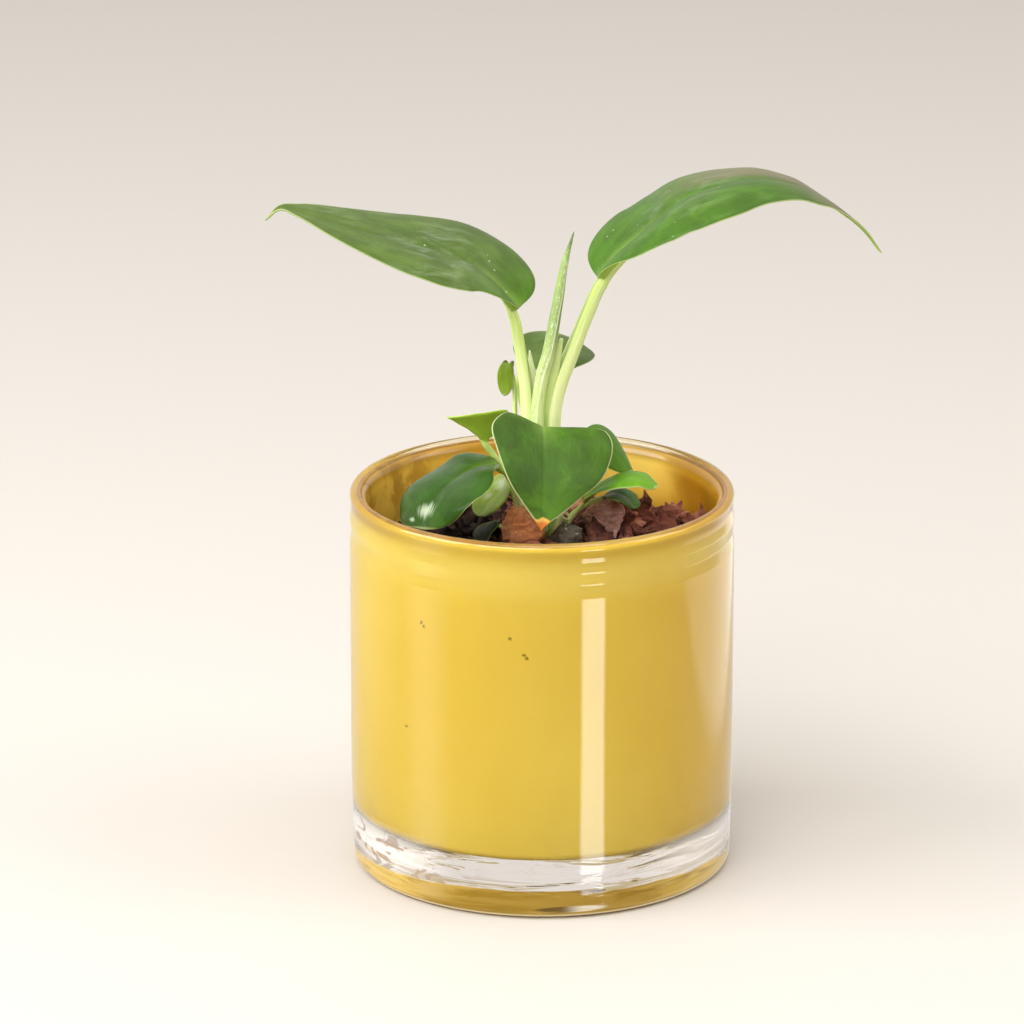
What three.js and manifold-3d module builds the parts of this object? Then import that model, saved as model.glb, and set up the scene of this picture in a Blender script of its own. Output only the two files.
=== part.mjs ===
// Potted aroid seedling in a cased glass pot. Millimetres, +Z up, the base centre at the origin.
import * as THREE from "three";
import Module from "manifold-3d";

// Driving sizes of the pot
const POT_HEIGHT = 111;
const POT_RADIUS = 55;
const BASE_RADIUS = 54.4;
const BASE_THICKNESS = 16.2;
const CLEAR_INNER_RADIUS = 51.5;
const LAYER_OUTER_RADIUS = 51.2;
const LAYER_INNER_RADIUS = 49.7;
const LAYER_FLOOR = 17.9;
const LAYER_TOP = 109.7;
const POT_SIDES = 64;

// Driving sizes of what stands in the pot
const SEAT_GAP = 0.3;
const MEDIUM_EDGE_LEVEL = 91.5;
const MEDIUM_CENTRE_LEVEL = 96;
const CROWN_TOP = 105;
const CROWN_BOTTOM = 84;
const CROWN_RADIUS = 6.6;
const BLADE_THICKNESS = 0.8;

// Surface finishes
const FINISH = {
  clearGlass: { color: 0xd9c58a, roughness: 0.05, metalness: 0 },
  yellowGlass: { color: 0xe3bd3d, roughness: 0.12, metalness: 0 },
  medium: { color: 0x2c1c14, roughness: 0.95, metalness: 0 },
  bark: { color: 0x7d4435, roughness: 0.9, metalness: 0 },
  mossyBark: { color: 0x55503f, roughness: 0.9, metalness: 0 },
  crown: { color: 0x8a9a4c, roughness: 0.7, metalness: 0 },
  petiole: { color: 0xc3da7c, roughness: 0.4, metalness: 0 },
  leaf: { color: 0x557f3a, roughness: 0.4, metalness: 0 },
  youngLeaf: { color: 0x9db554, roughness: 0.35, metalness: 0 },
};

const wasm = await Module();
wasm.setup();

const plant = new THREE.Group();
plant.name = "potted_pigskin_philodendron";

// Repeatable pseudo-random numbers between 0 and 1
function seeded(seed) {
  let state = seed * 2654435761 % 4294967296;
  return () => {
    state = (state * 1664525 + 1013904223) % 4294967296;
    return state / 4294967296;
  };
}

// Value at t of a quadratic curve with three control values
function blend(control, t) {
  return control[0] * (1 - t) ** 2 + 2 * control[1] * t * (1 - t) + control[2] * t * t;
}

function add(name, geometry, finish) {
  const mesh = new THREE.Mesh(geometry, new THREE.MeshStandardMaterial(finish));
  mesh.name = name;
  plant.add(mesh);
}

// Joins equal corners of a triangle list and leaves out triangles with no area
function weld(triangles) {
  const corners = [];
  const lookup = new Map();
  const index = [];
  for (const triangle of triangles) {
    const ids = triangle.map((p) => {
      const key = [p.x, p.y, p.z].map((v) => Math.round(v * 500)).join();
      if (!lookup.has(key)) {
        lookup.set(key, corners.length);
        corners.push(p);
      }
      return lookup.get(key);
    });
    if (new Set(ids).size === 3) index.push(...ids);
  }
  return { corners, index };
}

function toGeometry(triangles) {
  const { corners, index } = weld(triangles);
  const positions = corners.flatMap((p) => [p.x, p.y, p.z]);
  const geometry = new THREE.BufferGeometry();
  geometry.setAttribute("position", new THREE.Float32BufferAttribute(positions, 3));
  geometry.setIndex(index);
  geometry.computeVertexNormals();
  return geometry;
}

function toManifold(triangles) {
  const { corners, index } = weld(triangles);
  return new wasm.Manifold(new wasm.Mesh({
    numProp: 3,
    vertProperties: new Float32Array(corners.flatMap((p) => [p.x, p.y, p.z])),
    triVerts: new Uint32Array(index),
  }));
}

// The largest connected body of a cut solid, as a geometry
function fromManifold(solid) {
  const bodies = solid.decompose();
  const volume = (body) => (body.volume ? body.volume() : body.getProperties().volume);
  const largest = bodies.reduce((a, b) => (volume(a) > volume(b) ? a : b));
  const mesh = largest.getMesh();
  const geometry = new THREE.BufferGeometry();
  const positions = [];
  for (let i = 0; i < mesh.vertProperties.length; i += mesh.numProp) {
    positions.push(...mesh.vertProperties.slice(i, i + 3));
  }
  geometry.setAttribute("position", new THREE.Float32BufferAttribute(positions, 3));
  geometry.setIndex([...mesh.triVerts]);
  geometry.computeVertexNormals();
  return geometry;
}

// Closed solid of revolution about Z from [radius, height] pairs that start and end on the axis
function turned(profile, sides, relief = () => 0) {
  const triangles = [];
  const at = ([radius, height], k) => {
    const angle = (k % sides) / sides * 2 * Math.PI;
    const x = radius * Math.cos(angle);
    const y = radius * Math.sin(angle);
    return new THREE.Vector3(x, y, height + relief(x, y, height));
  };
  for (let i = 0; i + 1 < profile.length; i += 1) {
    for (let k = 0; k < sides; k += 1) {
      const [a, b] = [at(profile[i], k), at(profile[i], k + 1)];
      const [c, d] = [at(profile[i + 1], k + 1), at(profile[i + 1], k)];
      triangles.push([a, b, c], [a, c, d]);
    }
  }
  return triangles;
}

// Points of a rounded corner in a profile, about a centre, between two angles in degrees
function corner(radius, height, size, from, to, steps) {
  const points = [];
  for (let i = 0; i <= steps; i += 1) {
    const angle = THREE.MathUtils.degToRad(from + (to - from) * i / steps);
    points.push([radius + size * Math.cos(angle), height + size * Math.sin(angle)]);
  }
  return points;
}

// A curve through points that runs on straight past both of its ends
class Midline {
  constructor(points) {
    const places = points.map((p) => new THREE.Vector3(...p));
    this.curve = new THREE.CatmullRomCurve3(places, false, "catmullrom", 0.5);
    this.length = this.curve.getLength();
  }

  at(distance) {
    const share = THREE.MathUtils.clamp(distance / this.length, 0, 1);
    const tangent = this.curve.getTangentAt(share);
    const point = this.curve.getPointAt(share).addScaledVector(tangent, distance - share * this.length);
    return { point, tangent };
  }
}

// A stalk along a midline. Its radius runs from thick to thin, and grow widens and lengthens it for a socket.
function stalk({ points, thick, thin, sides = 8, steps = 7 }, grow = 0) {
  const line = new Midline(points);
  const reference = new THREE.Vector3(0, 1, 0);
  const rings = [];
  for (let i = 0; i <= steps; i += 1) {
    const distance = -grow + (line.length + 2 * grow) * i / steps;
    const { point, tangent } = line.at(distance);
    const side = reference.clone().addScaledVector(tangent, -reference.dot(tangent)).normalize();
    const normal = side.clone().cross(tangent);
    const radius = thick + (thin - thick) * i / steps + grow;
    rings.push(Array.from({ length: sides }, (_, k) => {
      const angle = k / sides * 2 * Math.PI;
      return point.clone().addScaledVector(side, radius * Math.cos(angle))
        .addScaledVector(normal, radius * Math.sin(angle));
    }));
  }
  const triangles = [];
  for (let i = 0; i < steps; i += 1) {
    for (let k = 0; k < sides; k += 1) {
      const next = (k + 1) % sides;
      triangles.push([rings[i][k], rings[i + 1][k], rings[i + 1][next]]);
      triangles.push([rings[i][k], rings[i + 1][next], rings[i][next]]);
    }
  }
  for (let k = 1; k + 1 < sides; k += 1) {
    triangles.push([rings[0][0], rings[0][k], rings[0][k + 1]]);
    triangles.push([rings[steps][0], rings[steps][k + 1], rings[steps][k]]);
  }
  return outward(triangles);
}

// Turns a closed triangle list the right way out
function outward(triangles) {
  let volume = 0;
  for (const [a, b, c] of triangles) volume += a.dot(b.clone().cross(c));
  return volume > 0 ? triangles : triangles.map(([a, b, c]) => [a, c, b]);
}

/* A leaf blade. Veins leave the rib and bend forward to the margin, so each row of the grid runs from the
   rib to a margin point further on or, at the lobes, further back. Each half turns about the rib by its own
   angle, given at the base, middle and tip, and curls towards its margin. */
function bladeGrid(leaf) {
  const { width, round, taper, rows, columns } = leaf;
  const rib = new Midline(leaf.rib);
  const widest = round / (round + taper);
  const fullest = widest ** round * (1 - widest) ** taper;
  const lobePeak = (1 / 6) * (5 / 6) ** 5;
  const fan = 1.4;
  const reference = new THREE.Vector3(...leaf.side);
  const grid = [];
  for (let i = 0; i <= rows; i += 1) {
    const share = 0.5 - 0.5 * Math.cos(Math.PI * i / rows);
    const reach = width / 2 * share ** round * (1 - share) ** taper / fullest;
    const ribDistance = rib.length * share ** fan;
    const row = [];
    for (let j = -columns; j <= columns; j += 1) {
      const half = j >= 0 ? "right" : "left";
      const across = Math.abs(j) / columns;
      const marginDistance = rib.length * share - leaf.lobe[half] * share * (1 - share) ** 5 / lobePeak;
      const along = ribDistance + (marginDistance - ribDistance) * across;
      const { point, tangent } = rib.at(along);
      const side = reference.clone().addScaledVector(tangent, -reference.dot(tangent)).normalize();
      const normal = side.clone().cross(tangent);
      const place = THREE.MathUtils.clamp(along / rib.length, 0, 1);
      const turn = THREE.MathUtils.degToRad(blend(leaf[half], place));
      const bend = THREE.MathUtils.degToRad(leaf.curl[half]) / (width / 2);
      const out = reach * across;
      const flat = (Math.sin(turn + bend * out) - Math.sin(turn)) / bend;
      const rise = (Math.cos(turn) - Math.cos(turn + bend * out)) / bend;
      row.push(point.addScaledVector(side, j >= 0 ? flat : -flat).addScaledVector(normal, rise));
    }
    grid.push(row);
  }
  return grid;
}

// Unit normals of a grid from its neighbouring points
function gridNormals(grid) {
  const last = grid.length - 1;
  const edge = grid[0].length - 1;
  return grid.map((row, i) => row.map((_, j) => {
    const r = THREE.MathUtils.clamp(i, 1, last - 1);
    const down = grid[r + 1][j].clone().sub(grid[r - 1][j]);
    const over = grid[r][Math.min(j + 1, edge)].clone().sub(grid[r][Math.max(j - 1, 0)]);
    return over.cross(down).normalize();
  }));
}

function blade(leaf) {
  const grid = bladeGrid({ rows: 12, columns: 2, ...leaf });
  const normals = gridNormals(grid);
  const last = grid.length - 1;
  const edge = grid[0].length - 1;
  for (const tip of [0, last]) {
    const shared = normals[tip][edge / 2];
    normals[tip] = normals[tip].map(() => shared);
  }
  const shift = (p, normal, offset) => p.clone().addScaledVector(normal, offset);
  const face = (offset) => grid.map((row, i) => row.map((p, j) => shift(p, normals[i][j], offset)));
  const upper = face(BLADE_THICKNESS / 2);
  const lower = face(-BLADE_THICKNESS / 2);
  const triangles = [];
  for (let i = 0; i < last; i += 1) {
    for (let j = 0; j < edge; j += 1) {
      triangles.push([upper[i][j], upper[i + 1][j], upper[i + 1][j + 1]]);
      triangles.push([upper[i][j], upper[i + 1][j + 1], upper[i][j + 1]]);
      triangles.push([lower[i][j], lower[i + 1][j + 1], lower[i + 1][j]]);
      triangles.push([lower[i][j], lower[i][j + 1], lower[i + 1][j + 1]]);
    }
    triangles.push([upper[i][0], lower[i][0], lower[i + 1][0]]);
    triangles.push([upper[i][0], lower[i + 1][0], upper[i + 1][0]]);
    triangles.push([upper[i][edge], lower[i + 1][edge], lower[i][edge]]);
    triangles.push([upper[i][edge], upper[i + 1][edge], lower[i + 1][edge]]);
  }
  return outward(triangles);
}

// An angular bark chip: a jagged outline, thinner towards its edge, turned and set at a place
function barkChip({ at, size, turn, seed }, grow = 0) {
  const random = seeded(seed);
  const sides = 8;
  const outline = Array.from({ length: sides }, (_, k) => ({
    angle: (k + 0.7 * (random() - 0.5)) / sides * 2 * Math.PI,
    radius: 0.72 + 0.28 * random(),
  }));
  const layers = [[-0.5, 0.78], [-0.12, 1], [0.22, 0.96], [0.5, 0.7]];
  const place = new THREE.Matrix4().makeRotationFromEuler(
    new THREE.Euler(...turn.map((angle) => THREE.MathUtils.degToRad(angle)), "XYZ"),
  ).setPosition(...at);
  const spread = size.map((length) => length + 2 * grow);
  const rings = layers.map(([height, share]) => outline.map(({ angle, radius }) => {
    const reach = 0.5 * radius * share * (0.92 + 0.08 * random());
    return new THREE.Vector3(
      spread[0] * reach * Math.cos(angle),
      spread[1] * reach * Math.sin(angle),
      spread[2] * (height + 0.1 * (random() - 0.5)),
    ).applyMatrix4(place);
  }));
  const triangles = [];
  for (let i = 0; i + 1 < rings.length; i += 1) {
    for (let k = 0; k < sides; k += 1) {
      const next = (k + 1) % sides;
      triangles.push([rings[i][k], rings[i][next], rings[i + 1][next]]);
      triangles.push([rings[i][k], rings[i + 1][next], rings[i + 1][k]]);
    }
  }
  for (const [ring, flip] of [[rings[0], true], [rings[rings.length - 1], false]]) {
    const middle = ring.reduce((sum, p) => sum.add(p), new THREE.Vector3()).divideScalar(sides);
    for (let k = 0; k < sides; k += 1) {
      const next = (k + 1) % sides;
      triangles.push(flip ? [middle, ring[next], ring[k]] : [middle, ring[k], ring[next]]);
    }
  }
  return outward(triangles);
}

// Clear glass body: a thick flat base, a straight wall with a slight belly and a rounded rim
const rimSize = (POT_RADIUS - 0.2 - CLEAR_INNER_RADIUS) / 2;
const glassProfile = [
  [0, 0],
  ...corner(BASE_RADIUS - 2.5, 2.5, 2.5, -90, 0, 4),
  [BASE_RADIUS + 0.35, 20],
  [POT_RADIUS, 45],
  [POT_RADIUS, 75],
  [POT_RADIUS - 0.15, 98],
  ...corner(CLEAR_INNER_RADIUS + rimSize, POT_HEIGHT - rimSize, rimSize, 0, 180, 8),
  ...corner(CLEAR_INNER_RADIUS - 3.3, BASE_THICKNESS + 3.3, 3.3, 0, -90, 4),
  [0, BASE_THICKNESS],
];
add("pot_clear_glass", toGeometry(outward(turned(glassProfile, POT_SIDES))), FINISH.clearGlass);

// Opaque yellow glass layer cased inside the clear body
const layerEdge = (LAYER_OUTER_RADIUS - LAYER_INNER_RADIUS) / 2;
const layerProfile = [
  [0, BASE_THICKNESS + SEAT_GAP],
  ...corner(LAYER_OUTER_RADIUS - 3, BASE_THICKNESS + SEAT_GAP + 3, 3, -90, 0, 4),
  ...corner(LAYER_OUTER_RADIUS - layerEdge, LAYER_TOP - layerEdge, layerEdge, 0, 180, 4),
  ...corner(LAYER_INNER_RADIUS - 2.5, LAYER_FLOOR + 2.5, 2.5, 0, -90, 3),
  [0, LAYER_FLOOR],
];
add("pot_yellow_glass_layer", toGeometry(outward(turned(layerProfile, POT_SIDES))), FINISH.yellowGlass);

// Leaf stalks, from where they stand in the crown up to their blades
const STALKS = {
  left_leaf: {
    points: [[-3.2, 2.6, 99], [-3.4, 2.6, 118], [-3.9, 2.4, 136.1], [-4.8, 2.3, 143.5], [-5.9, 1.6, 151.2],
      [-7.1, 0.4, 158.9], [-7.3, -0.6, 163.2]],
    thick: 2, thin: 1.7, steps: 9,
  },
  right_leaf: {
    points: [[4, 2.8, 99], [3.2, 2.8, 118], [3.5, 2.9, 135.9], [5.9, 3, 143.3], [8.4, 3, 150.7],
      [11.1, 2.7, 158.2], [14.2, 2.2, 165.7], [15.9, 2, 171.2]],
    thick: 2, thin: 1.8, steps: 10,
  },
  front_leaf: { points: [[0.2, -3.4, 99], [0.2, -4.2, 116], [0.3, -4.6, 129]], thick: 1.5, thin: 1.3 },
  hook_leaf: {
    points: [[-4.2, -1.6, 99], [-5.6, -1.4, 107], [-8.4, -0.8, 113.4], [-12.2, -0.2, 118.6], [-14.3, -0.3, 121.2],
      [-15.9, -0.8, 124.5]],
    thick: 1.2, thin: 1.1,
  },
  low_left_leaf: {
    points: [[-2.6, -4.4, 99], [-3.1, -4.8, 106], [-4.6, -5.3, 112], [-8.2, -6.1, 117], [-11.7, -6.8, 118.9]],
    thick: 1.2, thin: 1,
  },
  shaded_leaf: { points: [[-5, -2.4, 96], [-8.8, -2.2, 99], [-12.1, -2.1, 101.2]], thick: 0.9, thin: 0.8 },
  under_leaf: { points: [[-6, 0.5, 98], [-6.5, 3.1, 103.5], [-7.7, 5, 107.8], [-9.7, 6, 110.6]], thick: 1, thin: 0.8 },
  small_leaf: {
    points: [[-3.4, 6, 99], [-6.6, 7, 118], [-7.9, 7.2, 132.3], [-7.6, 7.4, 136.7], [-7.7, 7.8, 141],
      [-8.1, 8, 142.9]],
    thick: 0.9, thin: 0.6,
  },
  back_leaf: {
    points: [[2.4, 7.4, 99], [-2.4, 9, 122], [-6.6, 9.4, 135.1], [-7.5, 11, 139.6], [-6.9, 12.6, 142.8]],
    thick: 1.1, thin: 0.9, steps: 8,
  },
  mid_right_leaf: { points: [[5.5, 6.2, 98.5], [8.4, 6.6, 112], [10.7, 6.4, 120.4]], thick: 1.1, thin: 1 },
  low_right_leaf: { points: [[5.4, -2.3, 98.4], [8.6, -2.2, 103.4], [10.9, -2.1, 106.5]], thick: 1, thin: 0.8 },
  under_right_leaf: {
    points: [[6.3, -0.1, 100.2], [9, 0.3, 104.6], [13.3, 0.2, 106.5], [16.7, 0, 107.8]],
    thick: 0.9, thin: 0.8,
  },
};

// Leaf blades: the rib's course, the direction across it, the outline and how each half lies
const BLADES = {
  left_leaf: {
    rib: [[-6.9, -1, 164], [-13.7, -2, 172.2], [-21.3, -3, 178.4], [-31.7, -6, 183], [-42, -9, 186.5],
      [-57, -13, 191.6], [-68, -17, 196.5], [-73.2, -19, 198.2], [-77.3, -21, 195.3]],
    side: [0, 1, 0], width: 41.4, round: 0.73, taper: 1.49, lobe: { left: -3, right: 9.7 },
    left: [14, -4, -6], right: [40, 4, 28], curl: { left: -26, right: -26 }, rows: 20, columns: 4,
  },
  right_leaf: {
    rib: [[16, 2, 172], [21.6, 2, 179], [27.2, 2, 184.3], [32.9, 3, 189.3], [38.5, 4, 193.7], [45.3, 5, 196.9],
      [53.5, 7, 198.7], [62.3, 9, 199.1], [71.7, 11, 196.8], [78.7, 13, 192.7], [85.6, 14, 188], [91.4, 15, 182.8],
      [96.7, 17, 175.4]],
    side: [0, -1, 0], width: 44.6, round: 0.68, taper: 1.57, lobe: { left: 7.2, right: -3 },
    left: [32, 5, -8], right: [26, -2, 25], curl: { left: -25, right: -51 }, rows: 22, columns: 4,
  },
  front_leaf: {
    rib: [[0.3, -5, 130.3], [0.4, -9.5, 128.7], [0.4, -15, 124.2], [0.3, -20, 119.3], [0.1, -24, 113.2],
      [-0.2, -28, 106.7]],
    side: [-1, 0, 0], width: 40.3, round: 0.52, taper: 1.23, lobe: { left: 5, right: -1.6 },
    left: [-8, -33, -24], right: [31, 48, 33], curl: { left: 6, right: 10 }, rows: 16, columns: 4,
  },
  low_left_leaf: {
    rib: [[-12.4, -6.5, 119.8], [-18, -10.5, 120.2], [-23.1, -14.5, 118.8], [-27.9, -19.5, 116.2],
      [-30.9, -23.5, 112.7], [-32.9, -27.5, 106.9]],
    side: [0, 1, 0], width: 35.9, round: 0.78, taper: 0.5, lobe: { left: -1.3, right: 4.6 },
    left: [16, 11, -41], right: [9, 6, 53], curl: { left: -17, right: -29 }, rows: 16, columns: 3,
  },
  hook_leaf: {
    rib: [[-16.1, -1, 125.2], [-18.6, -3, 128.2], [-22.6, -5, 131.5], [-26.8, -7, 133.9]],
    side: [0, 1, 0], width: 28.2, round: 0.59, taper: 1.19, lobe: { left: -2, right: -0.8 },
    left: [72, 48, 37], right: [-25, -22, -18], curl: { left: 11, right: 6 },
  },
  shaded_leaf: {
    rib: [[-12.6, -2.2, 101.6], [-15.6, -4.6, 101.2], [-16.8, -8.4, 99.8], [-15.8, -12.4, 98]],
    side: [-1, 0, 0], width: 8, round: 0.5, taper: 0.9, lobe: { left: 0, right: 0 },
    left: [30, 25, 15], right: [-26, -26, -11], curl: { left: -20, right: -20 }, rows: 8,
  },
  under_leaf: {
    rib: [[-9.9, 6, 112.4], [-11.6, 4, 109.1], [-14.7, 2, 105.9], [-19, 0, 102.6]],
    side: [-0.7, 0.7, 0], width: 10.5, round: 0.53, taper: 0.5, lobe: { left: -1.2, right: 1.4 },
    left: [15, 11, -1], right: [-3, -6, 4], curl: { left: 10, right: 10 }, rows: 9,
  },
  small_leaf: {
    rib: [[-8.3, 8, 144.3], [-9.5, 7.6, 145.4], [-10.4, 7.2, 142.9], [-10.6, 6.8, 139.5], [-10.7, 6.4, 136.1]],
    side: [-1, 0, 0], width: 5.2, round: 0.7, taper: 0.55, lobe: { left: 0.1, right: 0.1 },
    left: [10, 20, 30], right: [-5, -15, -30], curl: { left: -20, right: -20 }, rows: 8, columns: 1,
  },
  back_leaf: {
    rib: [[-6.4, 13, 143.6], [-1.6, 15, 145.4], [3.9, 17, 146.3], [9.6, 18.5, 146.2], [15, 20, 144.5]],
    side: [0, -1, 0], width: 21.3, round: 0.53, taper: 0.64, lobe: { left: 0.8, right: -1.6 },
    left: [49, 26, 2], right: [-25, -11, -2], curl: { left: -15, right: -13 },
  },
  mid_right_leaf: {
    rib: [[11, 6.5, 121.1], [15, 8, 123.6], [19, 8.5, 122.3], [22.7, 7.5, 118.1], [25.6, 5.5, 113.6]],
    side: [0, -1, 0], width: 20, round: 0.7, taper: 0.5, lobe: { left: -1.2, right: 1.6 },
    left: [30, 16, 3], right: [-14, -6, -21], curl: { left: -36, right: -33 },
  },
  low_right_leaf: {
    rib: [[11.3, -2, 107], [16.1, -4, 111.6], [22.3, -6, 115.3], [28.2, -8, 116.1], [32.5, -10, 113.8]],
    side: [0, -1, 0], width: 12.2, round: 0.7, taper: 0.5, lobe: { left: 0.6, right: -1.4 },
    left: [11, 9, 12], right: [22, 15, -21], curl: { left: -30, right: -24 },
  },
  under_right_leaf: {
    rib: [[17.3, 0, 108], [20.7, -1, 109.4], [24.1, -3, 108.6], [26.6, -5, 105.9]],
    side: [0, -1, 0], width: 13.2, round: 0.62, taper: 0.52, lobe: { left: 0, right: -0.6 },
    left: [-5, 8, 30], right: [17, 6, -9], curl: { left: -19, right: -16 }, rows: 9,
  },
};
const YOUNG_LEAVES = ["hook_leaf", "under_leaf", "small_leaf"];

for (const [name, leaf] of Object.entries(BLADES)) {
  add(`${name}_blade`, toGeometry(blade(leaf)), YOUNG_LEAVES.includes(name) ? FINISH.youngLeaf : FINISH.leaf);
}
for (const [name, course] of Object.entries(STALKS)) {
  add(`${name}_petiole`, toGeometry(stalk(course)), FINISH.petiole);
}

// The rolled new leaf, a papery sheath behind it and the stub of a cut stalk
const SHOOTS = {
  spear_leaf: {
    finish: FINISH.youngLeaf,
    points: [[0.4, 0.4, 99], [-0.2, 0.3, 118], [-0.5, 0.2, 134], [0.3, 0, 144.2], [1.9, -0.3, 151.7],
      [4.4, -0.6, 166.5], [6.3, -0.6, 177.5], [8.9, -0.6, 186.6]],
    radii: [1.6, 1.6, 1.7, 1.75, 1.8, 1.85, 1.8, 1.65, 1.4, 1, 0.25],
  },
  sheath: {
    finish: FINISH.petiole,
    points: [[-0.3, 5.6, 99], [-1.6, 5.4, 122], [-2.9, 5.4, 142], [-3.6, 5.5, 150]],
    radii: [1.2, 1.3, 1.3, 1.2, 0.9, 0.3],
  },
  cut_petiole_stub: {
    finish: FINISH.petiole,
    points: [[2.8, -4.2, 96], [5, -6.6, 101.4], [6.8, -8.2, 105]],
    radii: [1.3, 1.3, 1.35, 1.4, 1.4],
  },
};

// A shoot is a stalk whose radius follows a list
function shoot({ points, radii }, grow = 0) {
  const line = new Midline(points);
  const steps = radii.length - 1;
  const straight = stalk({ points, thick: 1, thin: 1, steps });
  return straight.map((triangle) => triangle.map((p) => {
    const ring = nearestRing(line, steps, p);
    const centre = line.at(line.length * ring / steps);
    const end = ring === 0 ? -grow : ring === steps ? grow : 0;
    return centre.point.clone().addScaledVector(centre.tangent, end)
      .addScaledVector(p.clone().sub(centre.point), radii[ring] + grow);
  }));
}

function nearestRing(line, steps, p) {
  const centre = (i) => line.at(line.length * i / steps).point;
  const distances = Array.from({ length: steps + 1 }, (_, i) => centre(i).distanceTo(p));
  return distances.indexOf(Math.min(...distances));
}

for (const [name, course] of Object.entries(SHOOTS)) {
  add(name, toGeometry(shoot(course)), course.finish);
}

// Bark chips: centre, size and turn about X, Y and Z in degrees
const CHIPS = [
  { at: [-5.4, -11.8, 102.4], size: [16, 8.5, 12], turn: [14, 8, -8], finish: FINISH.bark },
  { at: [18.2, 3, 101.2], size: [15, 16, 5], turn: [68, 0, 12], finish: FINISH.bark },
  { at: [27.4, 8.5, 98], size: [8, 10, 5.5], turn: [55, 20, -20], finish: FINISH.bark },
  { at: [31, 14, 97.6], size: [4.5, 12, 3.6], turn: [75, 10, 30], finish: FINISH.bark },
  { at: [35, 8, 96.2], size: [9, 8, 5], turn: [20, -12, 30], finish: FINISH.bark },
  { at: [37, 17.5, 96.6], size: [8, 7, 4], turn: [35, 18, 10], finish: FINISH.bark },
  { at: [43.6, 16.5, 95.4], size: [4.5, 8, 3.6], turn: [80, 0, 60], finish: FINISH.bark },
  { at: [-3.5, -18.6, 97.4], size: [12, 9, 5], turn: [10, 5, 20], finish: FINISH.bark },
  { at: [-27.4, 1, 96], size: [11, 10, 5], turn: [12, -8, 10], finish: FINISH.bark },
  { at: [-21, -7, 95], size: [9.5, 9, 4.6], turn: [-10, 8, 40], finish: FINISH.bark },
  { at: [6.8, -14.2, 100.2], size: [12, 6.5, 9.5], turn: [10, 20, -20], finish: FINISH.mossyBark },
  { at: [-37, 14, 94.2], size: [13, 10, 5], turn: [8, 12, 35], finish: FINISH.bark },
  { at: [-22, 21, 95.4], size: [12, 11, 6], turn: [-15, 10, 70], finish: FINISH.bark },
  { at: [-7, 27, 95.2], size: [13, 9, 5.5], turn: [14, -8, 15], finish: FINISH.bark },
  { at: [11, 25, 95.6], size: [11, 12, 5], turn: [18, 12, -35], finish: FINISH.bark },
  { at: [24, 31, 94.4], size: [13, 9, 5], turn: [-10, 10, 25], finish: FINISH.bark },
  { at: [3, 40.5, 93.4], size: [12, 9, 5], turn: [10, 14, -8], finish: FINISH.bark },
  { at: [-34, -18, 94.4], size: [12, 10, 5], turn: [-8, 14, -30], finish: FINISH.bark },
  { at: [-18, -33, 94.2], size: [13, 10, 5.5], turn: [12, -10, 15], finish: FINISH.bark },
  { at: [7, -33, 94.6], size: [12, 11, 5], turn: [-12, 8, 50], finish: FINISH.bark },
  { at: [24.5, -15, 96], size: [13, 11, 6], turn: [16, -12, -25], finish: FINISH.bark },
  { at: [31.5, -30, 94.2], size: [11, 10, 5], turn: [8, 10, 20], finish: FINISH.bark },
].map((chip, index) => ({ ...chip, seed: index + 11 }));

CHIPS.forEach((chip, index) => {
  add(`bark_chip_${String(index + 1).padStart(2, "0")}`, toGeometry(barkChip(chip)), chip.finish);
});

// The short crown that the stalks stand in, with a socket for each
const CROWN_CENTRE = new THREE.Vector3(0.4, 1.4, 0);
function crownBody(grow = 0) {
  const profile = [[0, CROWN_BOTTOM - grow], [4.5, CROWN_BOTTOM - grow], [5.8, 88], [CROWN_RADIUS, 93],
    [CROWN_RADIUS - 0.3, 97], [CROWN_RADIUS - 1.4, CROWN_TOP - 4.5], [3.5, CROWN_TOP - 3.2 + grow],
    [0, CROWN_TOP - 2.8 + grow]]
    .map(([radius, height]) => [radius > 0 ? radius + grow : 0, height]);
  return outward(turned(profile, 14)).map((triangle) => triangle.map((p) => p.clone().add(CROWN_CENTRE)));
}

function carve(triangles, cutters) {
  return cutters.reduce((solid, cutter) => solid.subtract(toManifold(cutter)), toManifold(triangles));
}

const stalkCutters = Object.values(STALKS).map((course) => stalk(course, SEAT_GAP));
const shootCutters = Object.values(SHOOTS).map((course) => shoot(course, SEAT_GAP));
const chipCutters = CHIPS.map((chip) => barkChip(chip, SEAT_GAP));
add("crown_stem", fromManifold(carve(crownBody(), [...stalkCutters, ...shootCutters, ...chipCutters])), FINISH.crown);

// Growing medium: fills the pot, a little heaped in the middle, lumpy on top, hollowed for what lies in it
const MEDIUM_RADIUS = LAYER_INNER_RADIUS - SEAT_GAP;
function mediumLevel(x, y) {
  const heap = 1 - (x * x + y * y) / MEDIUM_RADIUS ** 2;
  const lumps = 0.7 * Math.sin(0.42 * x + 1.3) * Math.cos(0.37 * y - 0.6) + 0.4 * Math.sin(0.9 * x - 0.7 * y);
  return MEDIUM_EDGE_LEVEL + (MEDIUM_CENTRE_LEVEL - MEDIUM_EDGE_LEVEL) * heap + 0.035 * x + lumps;
}
const surfaceRadii = [MEDIUM_RADIUS, 45, 38, 31, 24, 17, 10, 5, 0];
const mediumProfile = [
  [0, LAYER_FLOOR + SEAT_GAP],
  ...corner(MEDIUM_RADIUS - 2.5, LAYER_FLOOR + SEAT_GAP + 2.5, 2.5, -90, 0, 3),
  ...surfaceRadii.map((radius) => [radius, 60]),
];
const mediumBody = turned(mediumProfile, 40, (x, y, height) => (height === 60 ? mediumLevel(x, y) - height : 0));
const mediumCutters = [crownBody(SEAT_GAP), ...stalkCutters, ...shootCutters, ...chipCutters];
add("growing_medium", fromManifold(carve(outward(mediumBody), mediumCutters)), FINISH.medium);

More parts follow.
